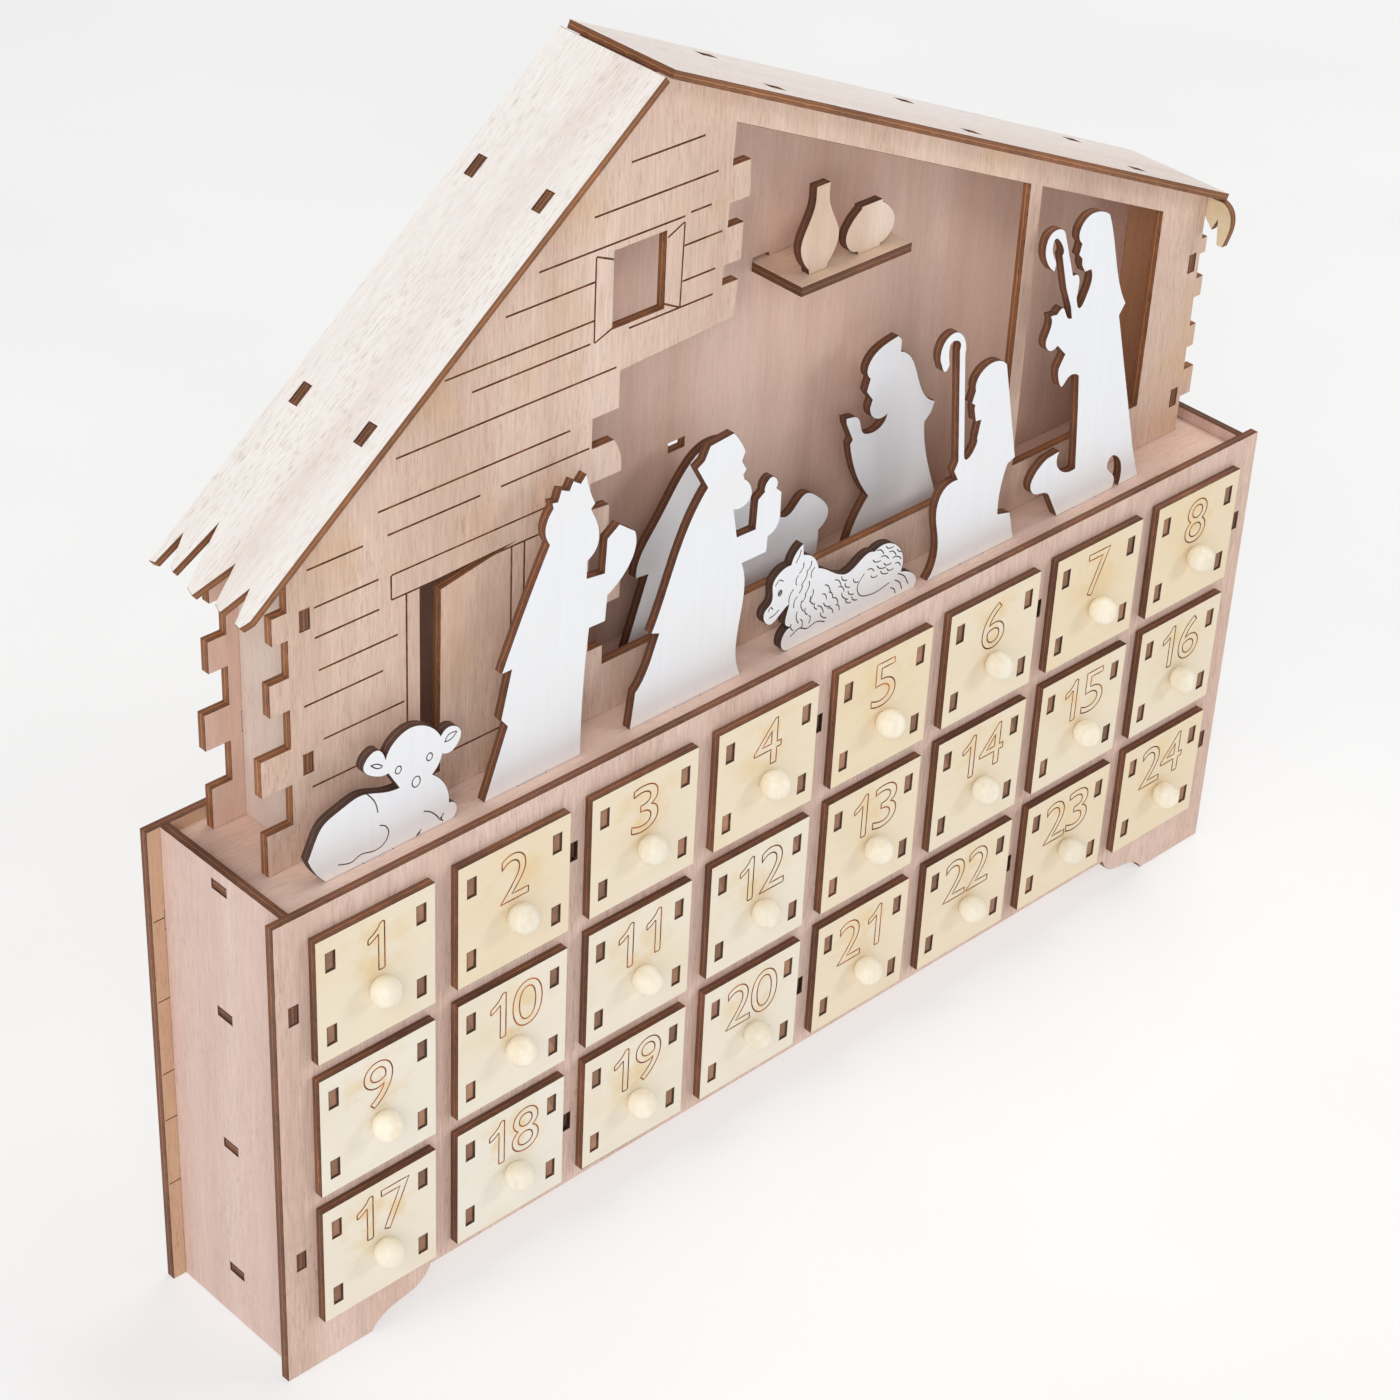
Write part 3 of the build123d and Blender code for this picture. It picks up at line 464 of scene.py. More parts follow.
@dataclass(frozen=True)
class EngravingFinish:
    """Burnt bottom of an engraved line."""

    name: str
    burnt: Display
    light: Display
    tones: Place = (0.8, 1.2)
    patch_places: Place = (0.38, 0.66)
    roughness: float = 0.85
    patches: Pattern = Pattern(260.0, 260.0)

    def material(self) -> Material:
        """Builds the burnt line's material.

        Returns:
            The material.
        """
        desk = ShaderDesk(self.name)
        patches = desk.noise(desk.place(), self.patches)
        colour = desk.ramp(patches, self.patch_places, (self.burnt, self.light))
        return desk.finish(desk.tone(colour, self.tones), self.roughness, patches, bump=0.2)


class Finishes:
    """All finishes of the calendar, by name."""

    def __init__(self, left_slope: float, right_slope: float) -> None:
        """Builds the materials.

        Args:
            left_slope, right_slope: slopes of the roof panels, which their grain follows.
        """
        recipes = (
            VeneerFinish("rosy_panel", (225, 198, 184), (218, 189, 174), (208, 177, 161), (150, 112, 96),
                         pore_share=0.34, fibre_share=0.13),
            VeneerFinish("blush_side", (219, 194, 184), (212, 184, 173), (203, 172, 160), (150, 114, 100),
                         fibre_share=0.09),
            VeneerFinish("amber_rear", (214, 180, 152), (205, 168, 138), (192, 153, 122), (150, 104, 74)),
            # Paler than the panel veneer: painted light standing for the strong top light that falls on the
            # boards.
            VeneerFinish("rose_board", (234, 207, 193), (227, 197, 182), (216, 184, 168), (166, 124, 106),
                         Axis.X, fibre_share=0.07),
            VeneerFinish("honey_wall", (223, 198, 182), (216, 188, 171), (206, 176, 158), (154, 115, 94),
                         pore_share=0.34, fibre_share=0.12, smoke_share=0.5),
            VeneerFinish("clay_back_wall", (229, 200, 186), (221, 189, 173), (210, 176, 159),
                         (160, 120, 102), pore_share=0.14, fibre_share=0.07),
            VeneerFinish("fawn_end_wall", (220, 203, 193), (211, 194, 183), (200, 181, 168),
                         (158, 122, 100)),
            # Darker, more saturated veneer for the right stable wall: painted shade of the bay's inner wall.
            VeneerFinish("tawny_far_wall", (202, 156, 122), (192, 144, 110), (178, 129, 96), (130, 88, 62)),
            VeneerFinish("white_roof", (247, 242, 238), (243, 236, 231), (234, 222, 214), (196, 168, 148),
                         Axis.X, left_slope, pore_share=0.5, fibre_share=0.07),
            VeneerFinish("pale_roof", (250, 241, 236), (246, 234, 227), (238, 223, 214), (192, 162, 146),
                         Axis.X, -right_slope, pore_share=0.35),
            VeneerFinish("straw_fringe", (236, 220, 188), (228, 210, 176), (214, 192, 156), (172, 136, 100),
                         Axis.Y, pore_share=0.25),
            VeneerFinish("cream_ware", (230, 210, 194), (222, 200, 182), (212, 187, 167), (170, 132, 106),
                         pore_share=0.25, smoke_share=0.3),
            VeneerFinish("wheat_ledge", (245, 222, 202), (239, 213, 191), (229, 200, 175), (172, 132, 104),
                         Axis.X),
            ScorchFinish("scorched_edge", (170, 116, 74), (142, 92, 60), (90, 54, 37)),
            ScorchFinish("ware_scorched_edge", (112, 72, 50), (92, 56, 40), (64, 40, 31)),
            ScorchFinish("brown_scorched_edge", (136, 91, 64), (113, 73, 51), (74, 46, 35), (0.82, 1.3)),
            ScorchFinish("black_scorched_edge", (104, 74, 58), (82, 56, 45), (58, 40, 34)),
            ScorchFinish("dark_scorched_edge", (136, 90, 60), (108, 68, 47), (70, 44, 34)),
            ScorchFinish("tab_end_grain", (190, 150, 120), (158, 117, 91), (104, 72, 54), (0.7, 1.2)),
            # Near-black rim round tab ends: burnt slot edge plus painted shade of the gap between tab and
            # slot.
            ScorchFinish("tab_rim", (66, 42, 32), (54, 36, 28), (40, 26, 20)),
            PaintFinish("white_paint", (238, 240, 244), (238, 240, 244), (236, 226, 200), 0.12, Axis.Z,
                        foot=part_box("top_board")[1].z),
            PaintFinish("cream_front", (235, 217, 186), (237, 231, 217), (230, 204, 156), 0.3, Axis.X, 0.55,
                        halo_share=0.8),
            TurnedFinish("turned_ball", (244, 236, 218), (238, 227, 204)),
            EngravingFinish("burnt_plank_line", (84, 46, 24), (130, 80, 44)),
            EngravingFinish("burnt_number_line", (120, 66, 30), (184, 114, 58), (0.7, 1.3)),
            EngravingFinish("burnt_animal_line", (58, 46, 42), (104, 84, 72)))
        self.materials = {recipe.name: recipe.material() for recipe in recipes}

    def __getitem__(self, name: str) -> Material:
        """Material of a finish."""
        return self.materials[name]


class TreeDesk(NodeDesk):
    """Adds and links the nodes of one Geometry Nodes tree with named inputs."""

    def __init__(self, name: str, inputs: dict[str, str]) -> None:
        """Starts a tree.

        Args:
            name: the tree's name.
            inputs: input name to its kind of socket, without the NodeSocket prefix.
        """
        super().__init__(bpy.data.node_groups.new(name, "GeometryNodeTree"))
        face = self.tree.interface
        face.new_socket("Geometry", in_out="INPUT", socket_type="NodeSocketGeometry")
        self.keys = {}
        for label, kind in inputs.items():
            socket = face.new_socket(label, in_out="INPUT", socket_type="NodeSocket" + kind)
            self.keys[label] = socket.identifier
        face.new_socket("Geometry", in_out="OUTPUT", socket_type="NodeSocketGeometry")
        self.given = self.tree.nodes.new("NodeGroupInput").outputs
        self.result = self.tree.nodes.new("NodeGroupOutput").inputs["Geometry"]

    def end(self, geometry: Socket) -> None:
        """Closes the tree with Realize Instances and Set Material.

        Args:
            geometry: what the tree has made.
        """
        real = self.add("GeometryNodeRealizeInstances", {"Geometry": geometry})
        sockets = {"Geometry": real, "Material": self.given["Material"]}
        self.feed(self.result, self.add("GeometryNodeSetMaterial", sockets))

    def run(self, mesh: Mesh, values: dict[str, object]) -> Mesh:
        """Runs the tree on a mesh.

        Args:
            mesh: what the tree starts from.
            values: input name to its value.

        Returns:
            The result as a plain mesh.
        """
        carrier = bpy.data.objects.new(self.tree.name, mesh)
        bpy.context.scene.collection.objects.link(carrier)
        modifier = carrier.modifiers.new(self.tree.name, "NODES")
        modifier.node_group = self.tree
        for label, value in values.items():
            modifier[self.keys[label]] = value
        made = evaluated_mesh(carrier)
        carrier.modifiers.clear()
        bpy.data.objects.remove(carrier)
        return made


def evaluated_mesh(thing: bpy.types.Object) -> Mesh:
    """Plain mesh of an object as its modifiers leave it.

    Args:
        thing: the object.

    Returns:
        The mesh.
    """
    bpy.context.view_layer.update()
    graph = bpy.context.evaluated_depsgraph_get()
    return bpy.data.meshes.new_from_object(thing.evaluated_get(graph))


def scaled(strokes: Sequence[Stroke], width: float, height: float) -> list[list[Place]]:
    """Strokes with their places multiplied across and upwards."""
    return [[(x * width, z * height) for x, z in stroke] for stroke in strokes]


def smooth_stroke(points: Stroke, steps: int = 5) -> list[Place]:
    """Smooth run through points.

    Args:
        points: places that the run goes through.
        steps: straight steps from one place to the next.

    Returns:
        The run's points.
    """
    padded = [points[0], *points, points[-1]]
    run = []
    for before, start, end, after in zip(padded, padded[1:], padded[2:], padded[3:]):
        for step in range(steps):
            t = step / steps
            run.append(tuple(0.5 * (2 * b + (c - a) * t + (2 * a - 5 * b + 4 * c - d) * t ** 2
                                    + (3 * b - a - 3 * c + d) * t ** 3)
                             for a, b, c, d in zip(before, start, end, after)))
    return run + [tuple(points[-1])]


def eased_stroke(points: Stroke, ease: float = 0.4) -> list[Place]:
    """Run of straight lines with a short cut across each corner.

    Args:
        points: ends and corners of the run.
        ease: how far from a corner its cut starts and ends.

    Returns:
        The run's points.
    """
    run = [points[0]]
    for before, corner, after in zip(points, points[1:], points[2:]):
        for other in (before, after):
            share = ease / math.dist(corner, other)
            run.append(tuple(start + (end - start) * share for start, end in zip(corner, other)))
    return run + [points[-1]]


def ring_stroke(centre: Place, half: Place, sides: int = 14) -> list[Place]:
    """Closed oval.

    Args:
        centre: its middle.
        half: half its width and height.
        sides: number of straight steps.

    Returns:
        The oval's points.
    """
    turns = [2 * math.pi * index / sides for index in range(sides)]
    ring = [(centre[0] + half[0] * math.cos(turn), centre[1] + half[1] * math.sin(turn)) for turn in turns]
    return ring + [ring[0]]


@dataclass
class EngravingTool:
    """Makes the cutters that engrave numerals and drawn lines into the sheets."""

    numeral_height: float = 16.5 * MM
    digit_pitch: float = 10.8 * MM
    digit_width: float = 10.4 * MM
    wide_digit_width: float = 11.3 * MM
    wide_digits: str = "04"
    one_shares: tuple[Place, ...] = (
        (0.17, 0.0), (0.17, 0.48), (0.09, 0.48), (0.04, 0.39), (-0.06, 0.30), (-0.17, 0.24), (-0.17, 0.125),
        (-0.05, 0.18), (0.045, 0.26), (0.045, -0.48), (0.17, -0.48), (0.17, 0.0))
    corner_share: float = 0.02
    capital_share: float = 0.727
    curve_steps: int = 3
    corner_cuts: int = 2
    tube_sides: int = 6
    numerals: TreeDesk = field(init=False)
    lines: TreeDesk = field(init=False)

    def __post_init__(self) -> None:
        """Builds both trees."""
        self.numerals = self.numeral_tree()
        self.lines = self.line_tree()

    def tube(self, desk: TreeDesk, curve: Socket) -> Socket:
        """Tube of the tree's line width along a flat curve, stood upright.

        Args:
            desk: the tree.
            curve: the flat curve.

        Returns:
            The tube at the tree's place.
        """
        level = desk.add("GeometryNodeSetCurveNormal", {"Curve": curve}, mode="Z_UP")
        radius = desk.add("ShaderNodeMath", {0: desk.given["Line Width"], 1: 0.5}, operation="MULTIPLY")
        sockets = {"Resolution": self.tube_sides, "Radius": radius}
        ring = desk.add("GeometryNodeCurvePrimitiveCircle", sockets)
        sockets = {"Curve": level, "Profile Curve": ring, "Fill Caps": True}
        tube = desk.add("GeometryNodeCurveToMesh", sockets)
        sockets = {"Geometry": tube, "Rotation": UPRIGHT, "Translation": desk.given["Place"]}
        return desk.add("GeometryNodeTransform", sockets)

    def numeral_tree(self) -> TreeDesk:
        """Tree that follows the outline of a digit, upright and facing the front.

        Returns:
            The tree.
        """
        inputs = {"Number": "String", "Height": "Float", "Width Share": "Float"}
        desk = TreeDesk("numeral_outline", {**inputs, **CUTTER_INPUTS})
        given = desk.given
        size = desk.add("ShaderNodeMath", {0: given["Height"], 1: self.capital_share}, operation="DIVIDE")
        text = desk.add("GeometryNodeStringToCurves", {"String": given["Number"], "Size": size},
                        font=bpy.data.curves.new("numerals", "FONT").font)
        real = desk.add("GeometryNodeRealizeInstances", {"Geometry": text})
        split = desk.add("GeometryNodeSubdivideCurve", {"Curve": real, "Cuts": self.corner_cuts})
        sockets = {"Geometry": split, "Resolution": self.curve_steps}
        fine = desk.add("GeometryNodeSetSplineResolution", sockets)
        box = desk.add("GeometryNodeBoundBox", {"Geometry": fine}).node.outputs
        span = desk.add("ShaderNodeVectorMath", {0: box["Min"], 1: box["Max"]}, operation="ADD")
        back = desk.add("ShaderNodeVectorMath", {0: span, "Scale": -0.5}, operation="SCALE")
        centred = desk.add("GeometryNodeTransform", {"Geometry": fine, "Translation": back})
        stretch = desk.add("ShaderNodeCombineXYZ", {"X": given["Width Share"], "Y": 1.0, "Z": 1.0})
        fitted = desk.add("GeometryNodeTransform", {"Geometry": centred, "Scale": stretch})
        desk.end(self.tube(desk, fitted))
        return desk

    def line_tree(self) -> TreeDesk:
        """Tree that follows the edges of a flat drawing, stood upright to face the front.

        Returns:
            The tree.
        """
        desk = TreeDesk("engraved_lines", CUTTER_INPUTS)
        curve = desk.add("GeometryNodeMeshToCurve", {"Mesh": desk.given["Geometry"]})
        desk.end(self.tube(desk, curve))
        return desk

    def number(self, text: str, place: Vector, width: float, finish: Material) -> Mesh:
        """Cutter of a number's outline, centred on a place.

        Args:
            text: the number's digits.
            place: middle of the number, on the face to cut.
            width: line width.
            finish: burnt finish of the cut.

        Returns:
            The cutter's mesh.
        """
        digits = []
        for index, digit in enumerate(text):
            middle = place + Vector(((index - (len(text) - 1) / 2) * self.digit_pitch, 0.0, 0.0))
            digits.append(self.digit(digit, middle, width, finish))
        return joined(f"number_{text}", digits)

    def digit(self, digit: str, place: Vector, width: float, finish: Material) -> Mesh:
        """Cutter of one digit, stretched to its own breadth; the one is drawn from listed points.

        Args:
            digit: the digit.
            place: its middle, on the face to cut.
            width: line width.
            finish: burnt finish of the cut.

        Returns:
            The cutter's mesh.
        """
        height = self.numeral_height
        if digit == "1":
            outline = eased_stroke(self.one_shares, self.corner_share)
            return self.drawing(scaled([outline], height, height), place, width, finish)
        values = {"Number": digit, "Height": height, "Width Share": 1.0, "Line Width": width,
                  "Place": tuple(place), "Material": finish}
        plain = self.numerals.run(bpy.data.meshes.new("digit"), values)
        sides = [vertex.co.x for vertex in plain.vertices]
        reach = self.wide_digit_width if digit in self.wide_digits else self.digit_width
        values["Width Share"] = (reach - width) / (max(sides) - min(sides) - width)
        return self.numerals.run(bpy.data.meshes.new("digit"), values)

    def drawing(self, strokes: Sequence[Stroke], place: Vector, width: float, finish: Material) -> Mesh:
        """Cutter of drawn strokes; a stroke that ends where it starts is closed.

        Args:
            strokes: points of each stroke, to the right of the place and above it.
            place: where the drawing starts, on the face to cut.
            width: line width.
            finish: burnt finish of the cut.

        Returns:
            The cutter's mesh.
        """
        points, edges = [], []
        for stroke in strokes:
            closed = math.dist(stroke[0], stroke[-1]) < MERGE_DISTANCE
            kept = stroke[:-1] if closed else stroke
            first = len(points)
            points.extend((x, y, 0.0) for x, y in kept)
            edges.extend((index, index + 1) for index in range(first, len(points) - 1))
            if closed:
                edges.append((len(points) - 1, first))
        mesh = bpy.data.meshes.new("drawing")
        mesh.from_pydata(points, edges, [])
        return self.lines.run(mesh, {"Line Width": width, "Place": tuple(place), "Material": finish})


def merged_copy(node: str) -> Shape:
    """Copy of a CAD node's mesh with its points merged.

    Args:
        node: the node's name.

    Returns:
        The copy.
    """
    shape = bmesh.new()
    shape.from_mesh(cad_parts[node].data)
    bmesh.ops.remove_doubles(shape, verts=shape.verts, dist=MERGE_DISTANCE)
    return shape


def flatten(shape: Shape) -> None:
    """Joins the triangles of each flat area into large faces."""
    bmesh.ops.dissolve_limit(shape, angle_limit=FLAT_ANGLE, verts=shape.verts, edges=shape.edges)


def islands(shape: Shape) -> list[list[Face]]:
    """Groups of faces joined by edges that only they share, so solids that touch stay apart.

    Args:
        shape: the solids.

    Returns:
        The faces of each solid.
    """
    groups, seen = [], set()
    for start in shape.faces:
        if start in seen:
            continue
        seen.add(start)
        group, queue = [], [start]
        while queue:
            face = queue.pop()
            group.append(face)
            seams = [edge.link_faces for edge in face.edges if len(edge.link_faces) == 2]
            beside = {other for pair in seams for other in pair} - seen
            seen |= beside
            queue.extend(beside)
        groups.append(group)
    return groups


def part_of(faces: Sequence[Face], shape: Shape) -> Shape:
    """New shape that holds only some faces of a shape.

    Args:
        faces: what is kept.
        shape: the whole, with its faces numbered.

    Returns:
        The part.
    """
    kept = {face.index for face in faces}
    part = shape.copy()
    part.faces.ensure_lookup_table()
    spare = [face for face in part.faces if face.index not in kept]
    bmesh.ops.delete(part, geom=spare, context="FACES")
    return part


def sort_faces(shape: Shape, axis: Vector) -> None:
    """Gives a sheet's faces and its cut edges their material numbers."""
    for face in shape.faces:
        face.material_index = Layer.FACE if abs(face.normal.dot(axis)) > FACING else Layer.EDGE


def coat(faces: Sequence[Face], layer: Layer) -> None:
    """Gives faces one material number."""
    for face in faces:
        face.material_index = layer


def piece_object(name: str, mesh: Mesh, materials: Sequence[Material]) -> bpy.types.Object:
    """Object at the origin.

    Args:
        name: the object's name.
        mesh: its mesh.
        materials: what the mesh gets if it has no materials yet.

    Returns:
        The object, in the scene.
    """
    if not mesh.materials:
        for material in materials:
            mesh.materials.append(material)
    piece = bpy.data.objects.new(name, mesh)
    bpy.context.scene.collection.objects.link(piece)
    return piece


def from_shape(name: str, shape: Shape) -> Mesh:
    """Plain mesh of a shape.

    Args:
        name: the mesh's name.
        shape: the shape, which is freed.

    Returns:
        The mesh, without stored normals.
    """
    mesh = bpy.data.meshes.new(name)
    shape.to_mesh(mesh)
    shape.free()
    stored = mesh.attributes.get("custom_normal")
    if stored is not None:
        mesh.attributes.remove(stored)
    return mesh


def triangulate(mesh: Mesh) -> None:
    """Splits all faces of a mesh into triangles.

    Args:
        mesh: the mesh, which is changed.
    """
    shape = bmesh.new()
    shape.from_mesh(mesh)
    bmesh.ops.triangulate(shape, faces=shape.faces)
    shape.to_mesh(mesh)
    shape.free()


def joined(name: str, meshes: Sequence[Mesh]) -> Mesh:
    """One mesh of several.

    Args:
        name: the new mesh's name.
        meshes: what it is made of; the first one's materials hold for all.

    Returns:
        The mesh.
    """
    whole = bmesh.new()
    for mesh in meshes:
        whole.from_mesh(mesh)
    made = from_shape(name, whole)
    for material in meshes[0].materials:
        made.materials.append(material)
    return made


@dataclass
class TabEnds:
    """Finds the ends of a sheet's tabs and sinks them a little, with a dark rim of burn and painted gap
    shade.
    """

    rim: float = 0.38 * MM
    longest_flank: float = 4.0 * MM
    shortest_flank: float = 2.0 * MM
    square: float = math.radians(12)

    def found(self, shape: Shape, axis: Vector, thickness: float) -> list[Face]:
        """Faces at the ends of short square tabs.

        Args:
            shape: the sheet, with flat areas joined.
            axis: direction across the sheet.
            thickness: the sheet's thickness.

        Returns:
            The end faces.
        """
        ends = []
        for face in shape.faces:
            if len(face.edges) != 4 or abs(face.normal.dot(axis)) > SQUARE_ON:
                continue
            flanks = [edge for edge in face.edges
                      if abs((edge.verts[0].co - edge.verts[1].co).normalized().dot(axis)) > FACING]
            if len(flanks) == 2 and all(self.is_corner(edge, face, thickness) for edge in flanks):
                ends.append(face)
        return ends

    def is_corner(self, edge: bmesh.types.BMEdge, face: Face, thickness: float) -> bool:
        """Tells whether a tab's flank starts at an edge of its end.

        Args:
            edge: the edge.
            face: the end.
            thickness: the sheet's thickness.

        Returns:
            Whether the face beyond the edge stands square and is as long as a flank.
        """
        others = [other for other in edge.link_faces if other is not face]
        if not others or abs(edge.calc_face_angle_signed(0.0) - math.pi / 2) > self.square:
            return False
        flank = others[0].calc_area() / thickness
        return self.shortest_flank < flank < self.longest_flank

    def sink(self, shape: Shape, ends: Sequence[Face], depth: float) -> None:
        """Sinks the ends.

        Args:
            shape: the sheet.
            ends: end faces of its tabs.
            depth: how deep they sink.
        """
        if not ends:
            return
        rims = bmesh.ops.inset_individual(shape, faces=list(ends), thickness=self.rim, depth=-depth)
        # The sunk walls round each tab end get the dark rim: burn, and painted shade of the gap round the
        # tab.
        coat(rims["faces"], Layer.TAB_RIM)
        coat(ends, Layer.TAB_END)


@dataclass
class SheetMaker:
    """Turns a merged shape into a finished sheet: scorched rims and engraved lines."""

    rim: float = 0.14 * MM
    rim_angle: float = math.radians(40)
    smooth_angle: float = math.radians(28)

    def finished(self, name: str, mesh: Mesh, materials: Sequence[Material],
                 cutter: Optional[Mesh] = None) -> Mesh:
        """Bevels the rims and cuts the engraving.

        Args:
            name: name of the finished mesh.
            mesh: the sheet's plain mesh, with its material numbers set.
            materials: the sheet's materials.
            cutter: what the engraving takes away.

        Returns:
            The finished mesh.
        """
        sheet = piece_object(name, mesh, materials)
        bevel = sheet.modifiers.new("rim", "BEVEL")
        bevel.width = self.rim
        bevel.segments = 1
        bevel.limit_method = "ANGLE"
        bevel.angle_limit = self.rim_angle
        bevel.use_clamp_overlap = False
        bevel.material = Layer.EDGE
        tool = None
        if cutter is not None:
            tool = piece_object("cutter", cutter, ())
            cut = sheet.modifiers.new("engraving", "BOOLEAN")
            cut.operation = "DIFFERENCE"
            cut.solver = "EXACT"
            cut.use_self = True
            cut.material_mode = "TRANSFER"
            cut.object = tool
        made = evaluated_mesh(sheet)
        sheet.modifiers.clear()
        for spare in filter(None, (sheet, tool)):
            bpy.data.objects.remove(spare)
        made.name = name
        triangulate(made)
        return made

    def shade(self, mesh: Mesh) -> None:
        """Smooths the round stretches and keeps the corners sharp."""
        mesh.polygons.foreach_set("use_smooth", [True] * len(mesh.polygons))
        mesh.set_sharp_from_angle(angle=self.smooth_angle)


def mark_tone(mesh: Mesh, tone: Callable[[bpy.types.MeshPolygon], float]) -> None:
    """Writes the tone attribute, one value a face, from 0 dark to 1 pale."""
    layer = mesh.attributes.new("tone", "FLOAT", "FACE")
    layer.data.foreach_set("value", [tone(face) for face in mesh.polygons])


def mark_depth(mesh: Mesh, axis: Vector, low: float, high: float) -> None:
    """Writes the depth attribute, from 0 at one face of the sheet to 1 at the other.

    Args:
        mesh: the sheet's mesh.
        axis: direction across the sheet.
        low, high: places of both faces along that direction.
    """
    layer = mesh.attributes.new("depth", "FLOAT", "POINT")
    values = [(vertex.co.dot(axis) - low) / (high - low) for vertex in mesh.vertices]
    layer.data.foreach_set("value", [min(max(value, 0.0), 1.0) for value in values])


def mark_halo(mesh: Mesh, centre: Vector, half: Place) -> None:
    """Writes the halo attribute, the place from an engraving's centre in shares of its half sizes.

    Args:
        mesh: the mesh that carries the engraving.
        centre: middle of the engraving.
        half: half the width and the height that its smoke reaches.
    """
    layer = mesh.attributes.new("halo", "FLOAT_VECTOR", "POINT")
    for vertex, item in zip(mesh.vertices, layer.data):
        away = vertex.co - centre
        item.vector = (away.x / half[0], 0.0, away.z / half[1])


def settle(piece: bpy.types.Object, node: str, body: str, slot: Slot) -> None:
    """Lets a piece stand for its CAD node and move with its body.

    Args:
        piece: the finished piece.
        node: the CAD node that it replaces.
        body: the body that it rides on.
        slot: not used.
    """
    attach(piece, body)
    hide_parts(node)
    log.info("%s rides on %s: %d faces", piece.name, body, len(piece.data.polygons))


@dataclass(frozen=True)
class Engraving:
    """Drawing to cut into a sheet: strokes to the right of a place and above it, line width and finish."""

    strokes: Sequence[Stroke]
    place: Vector
    width: float
    finish: str


@dataclass
class SheetWorks:
    """Common bench of the pieces: finishes, tools and seeded dice."""

    finishes: Finishes
    tool: EngravingTool = field(default_factory=EngravingTool)
    maker: SheetMaker = field(default_factory=SheetMaker)
    tabs: TabEnds = field(default_factory=TabEnds)
    dice: random.Random = field(default_factory=lambda: random.Random(SEED))
    tab_finishes: tuple[str, str] = ("dark_scorched_edge", "tab_rim")

    def sheet(self, node: str, axis: Vector, face: str, edge: str, slot: Slot = Slot.PLYWOOD,
              engraving: Optional[Engraving] = None, tab_depth: float = 0.4 * MM) -> None:
        """Finishes one flat piece.

        Args:
            node: the CAD node that it stands for.
            axis: unit normal of the sheet's faces.
            face, edge: finishes of its faces and of its cut edges.
            slot: name of a material slot, handed on to settle.
            engraving: drawing to cut into it.
            tab_depth: how deep the ends of its tabs lie.
        """
        materials = [self.finishes[name] for name in (face, edge, *self.tab_finishes)]
        cutter = None
        if engraving is not None:
            line = self.finishes[engraving.finish]
            cutter = self.tool.drawing(engraving.strokes, engraving.place, engraving.width, line)
            materials.append(line)
        shape = merged_copy(node)
        flatten(shape)
        places = [vertex.co.dot(axis) for vertex in shape.verts]
        low, high = min(places), max(places)
        sort_faces(shape, axis)
        self.tabs.sink(shape, self.tabs.found(shape, axis, high - low), tab_depth)
        mesh = self.maker.finished(f"{node}_sheet", from_shape(node, shape), materials, cutter)
        tone = self.dice.random()
        mark_tone(mesh, lambda _: tone)
        mark_depth(mesh, axis, low, high)
        self.maker.shade(mesh)
        settle(piece_object(mesh.name, mesh, materials), node, FIXED_BODY, slot)


@dataclass
class DrawerCabinet:
    """Panels, boards and dividers of the cabinet."""

    works: SheetWorks
    edge: str = "brown_scorched_edge"
    boards: tuple[str, ...] = ("top_board", "upper_drawer_shelf", "lower_drawer_shelf", "cabinet_floor")
    sides: tuple[str, ...] = ("cabinet_left_side", "cabinet_right_side")
    dividers: tuple[str, ...] = ("column_divider_left", "column_divider_middle", "column_divider_right")
    divider_edge: str = "scorched_edge"
    divider_tab_depth: float = 1.3 * MM
    seam_levels: tuple[float, ...] = (132 * MM, 104 * MM, 78 * MM, 61 * MM, 37 * MM)
    seam_start: float = 0.5 * MM
    seam_end: float = 6.0 * MM
    seam_width: float = 0.4 * MM

    def build(self) -> None:
        """Finishes all sheets of the cabinet."""
        # The boards get a paler veneer, painted light for the top light that falls on them.
        rows = ((("cabinet_front",), Axis.Y, "rosy_panel"), (self.boards, Axis.Z, "rose_board"),
                (self.sides, Axis.X, "blush_side"))
        for nodes, axis, veneer in rows:
            for node in nodes:
                self.works.sheet(node, axis.vector(), veneer, self.edge)
        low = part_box("cabinet_back")[0]
        seams = [[(self.seam_start, level), (self.seam_end, level)] for level in self.seam_levels]
        engraving = Engraving(seams, Vector((low.x, low.y, 0.0)), self.seam_width, "burnt_plank_line")
        self.works.sheet("cabinet_back", Axis.Y.vector(), "amber_rear", self.edge, engraving=engraving)
        for node in self.dividers:
            self.works.sheet(node, Axis.X.vector(), "rosy_panel", self.divider_edge,
                             tab_depth=self.divider_tab_depth)


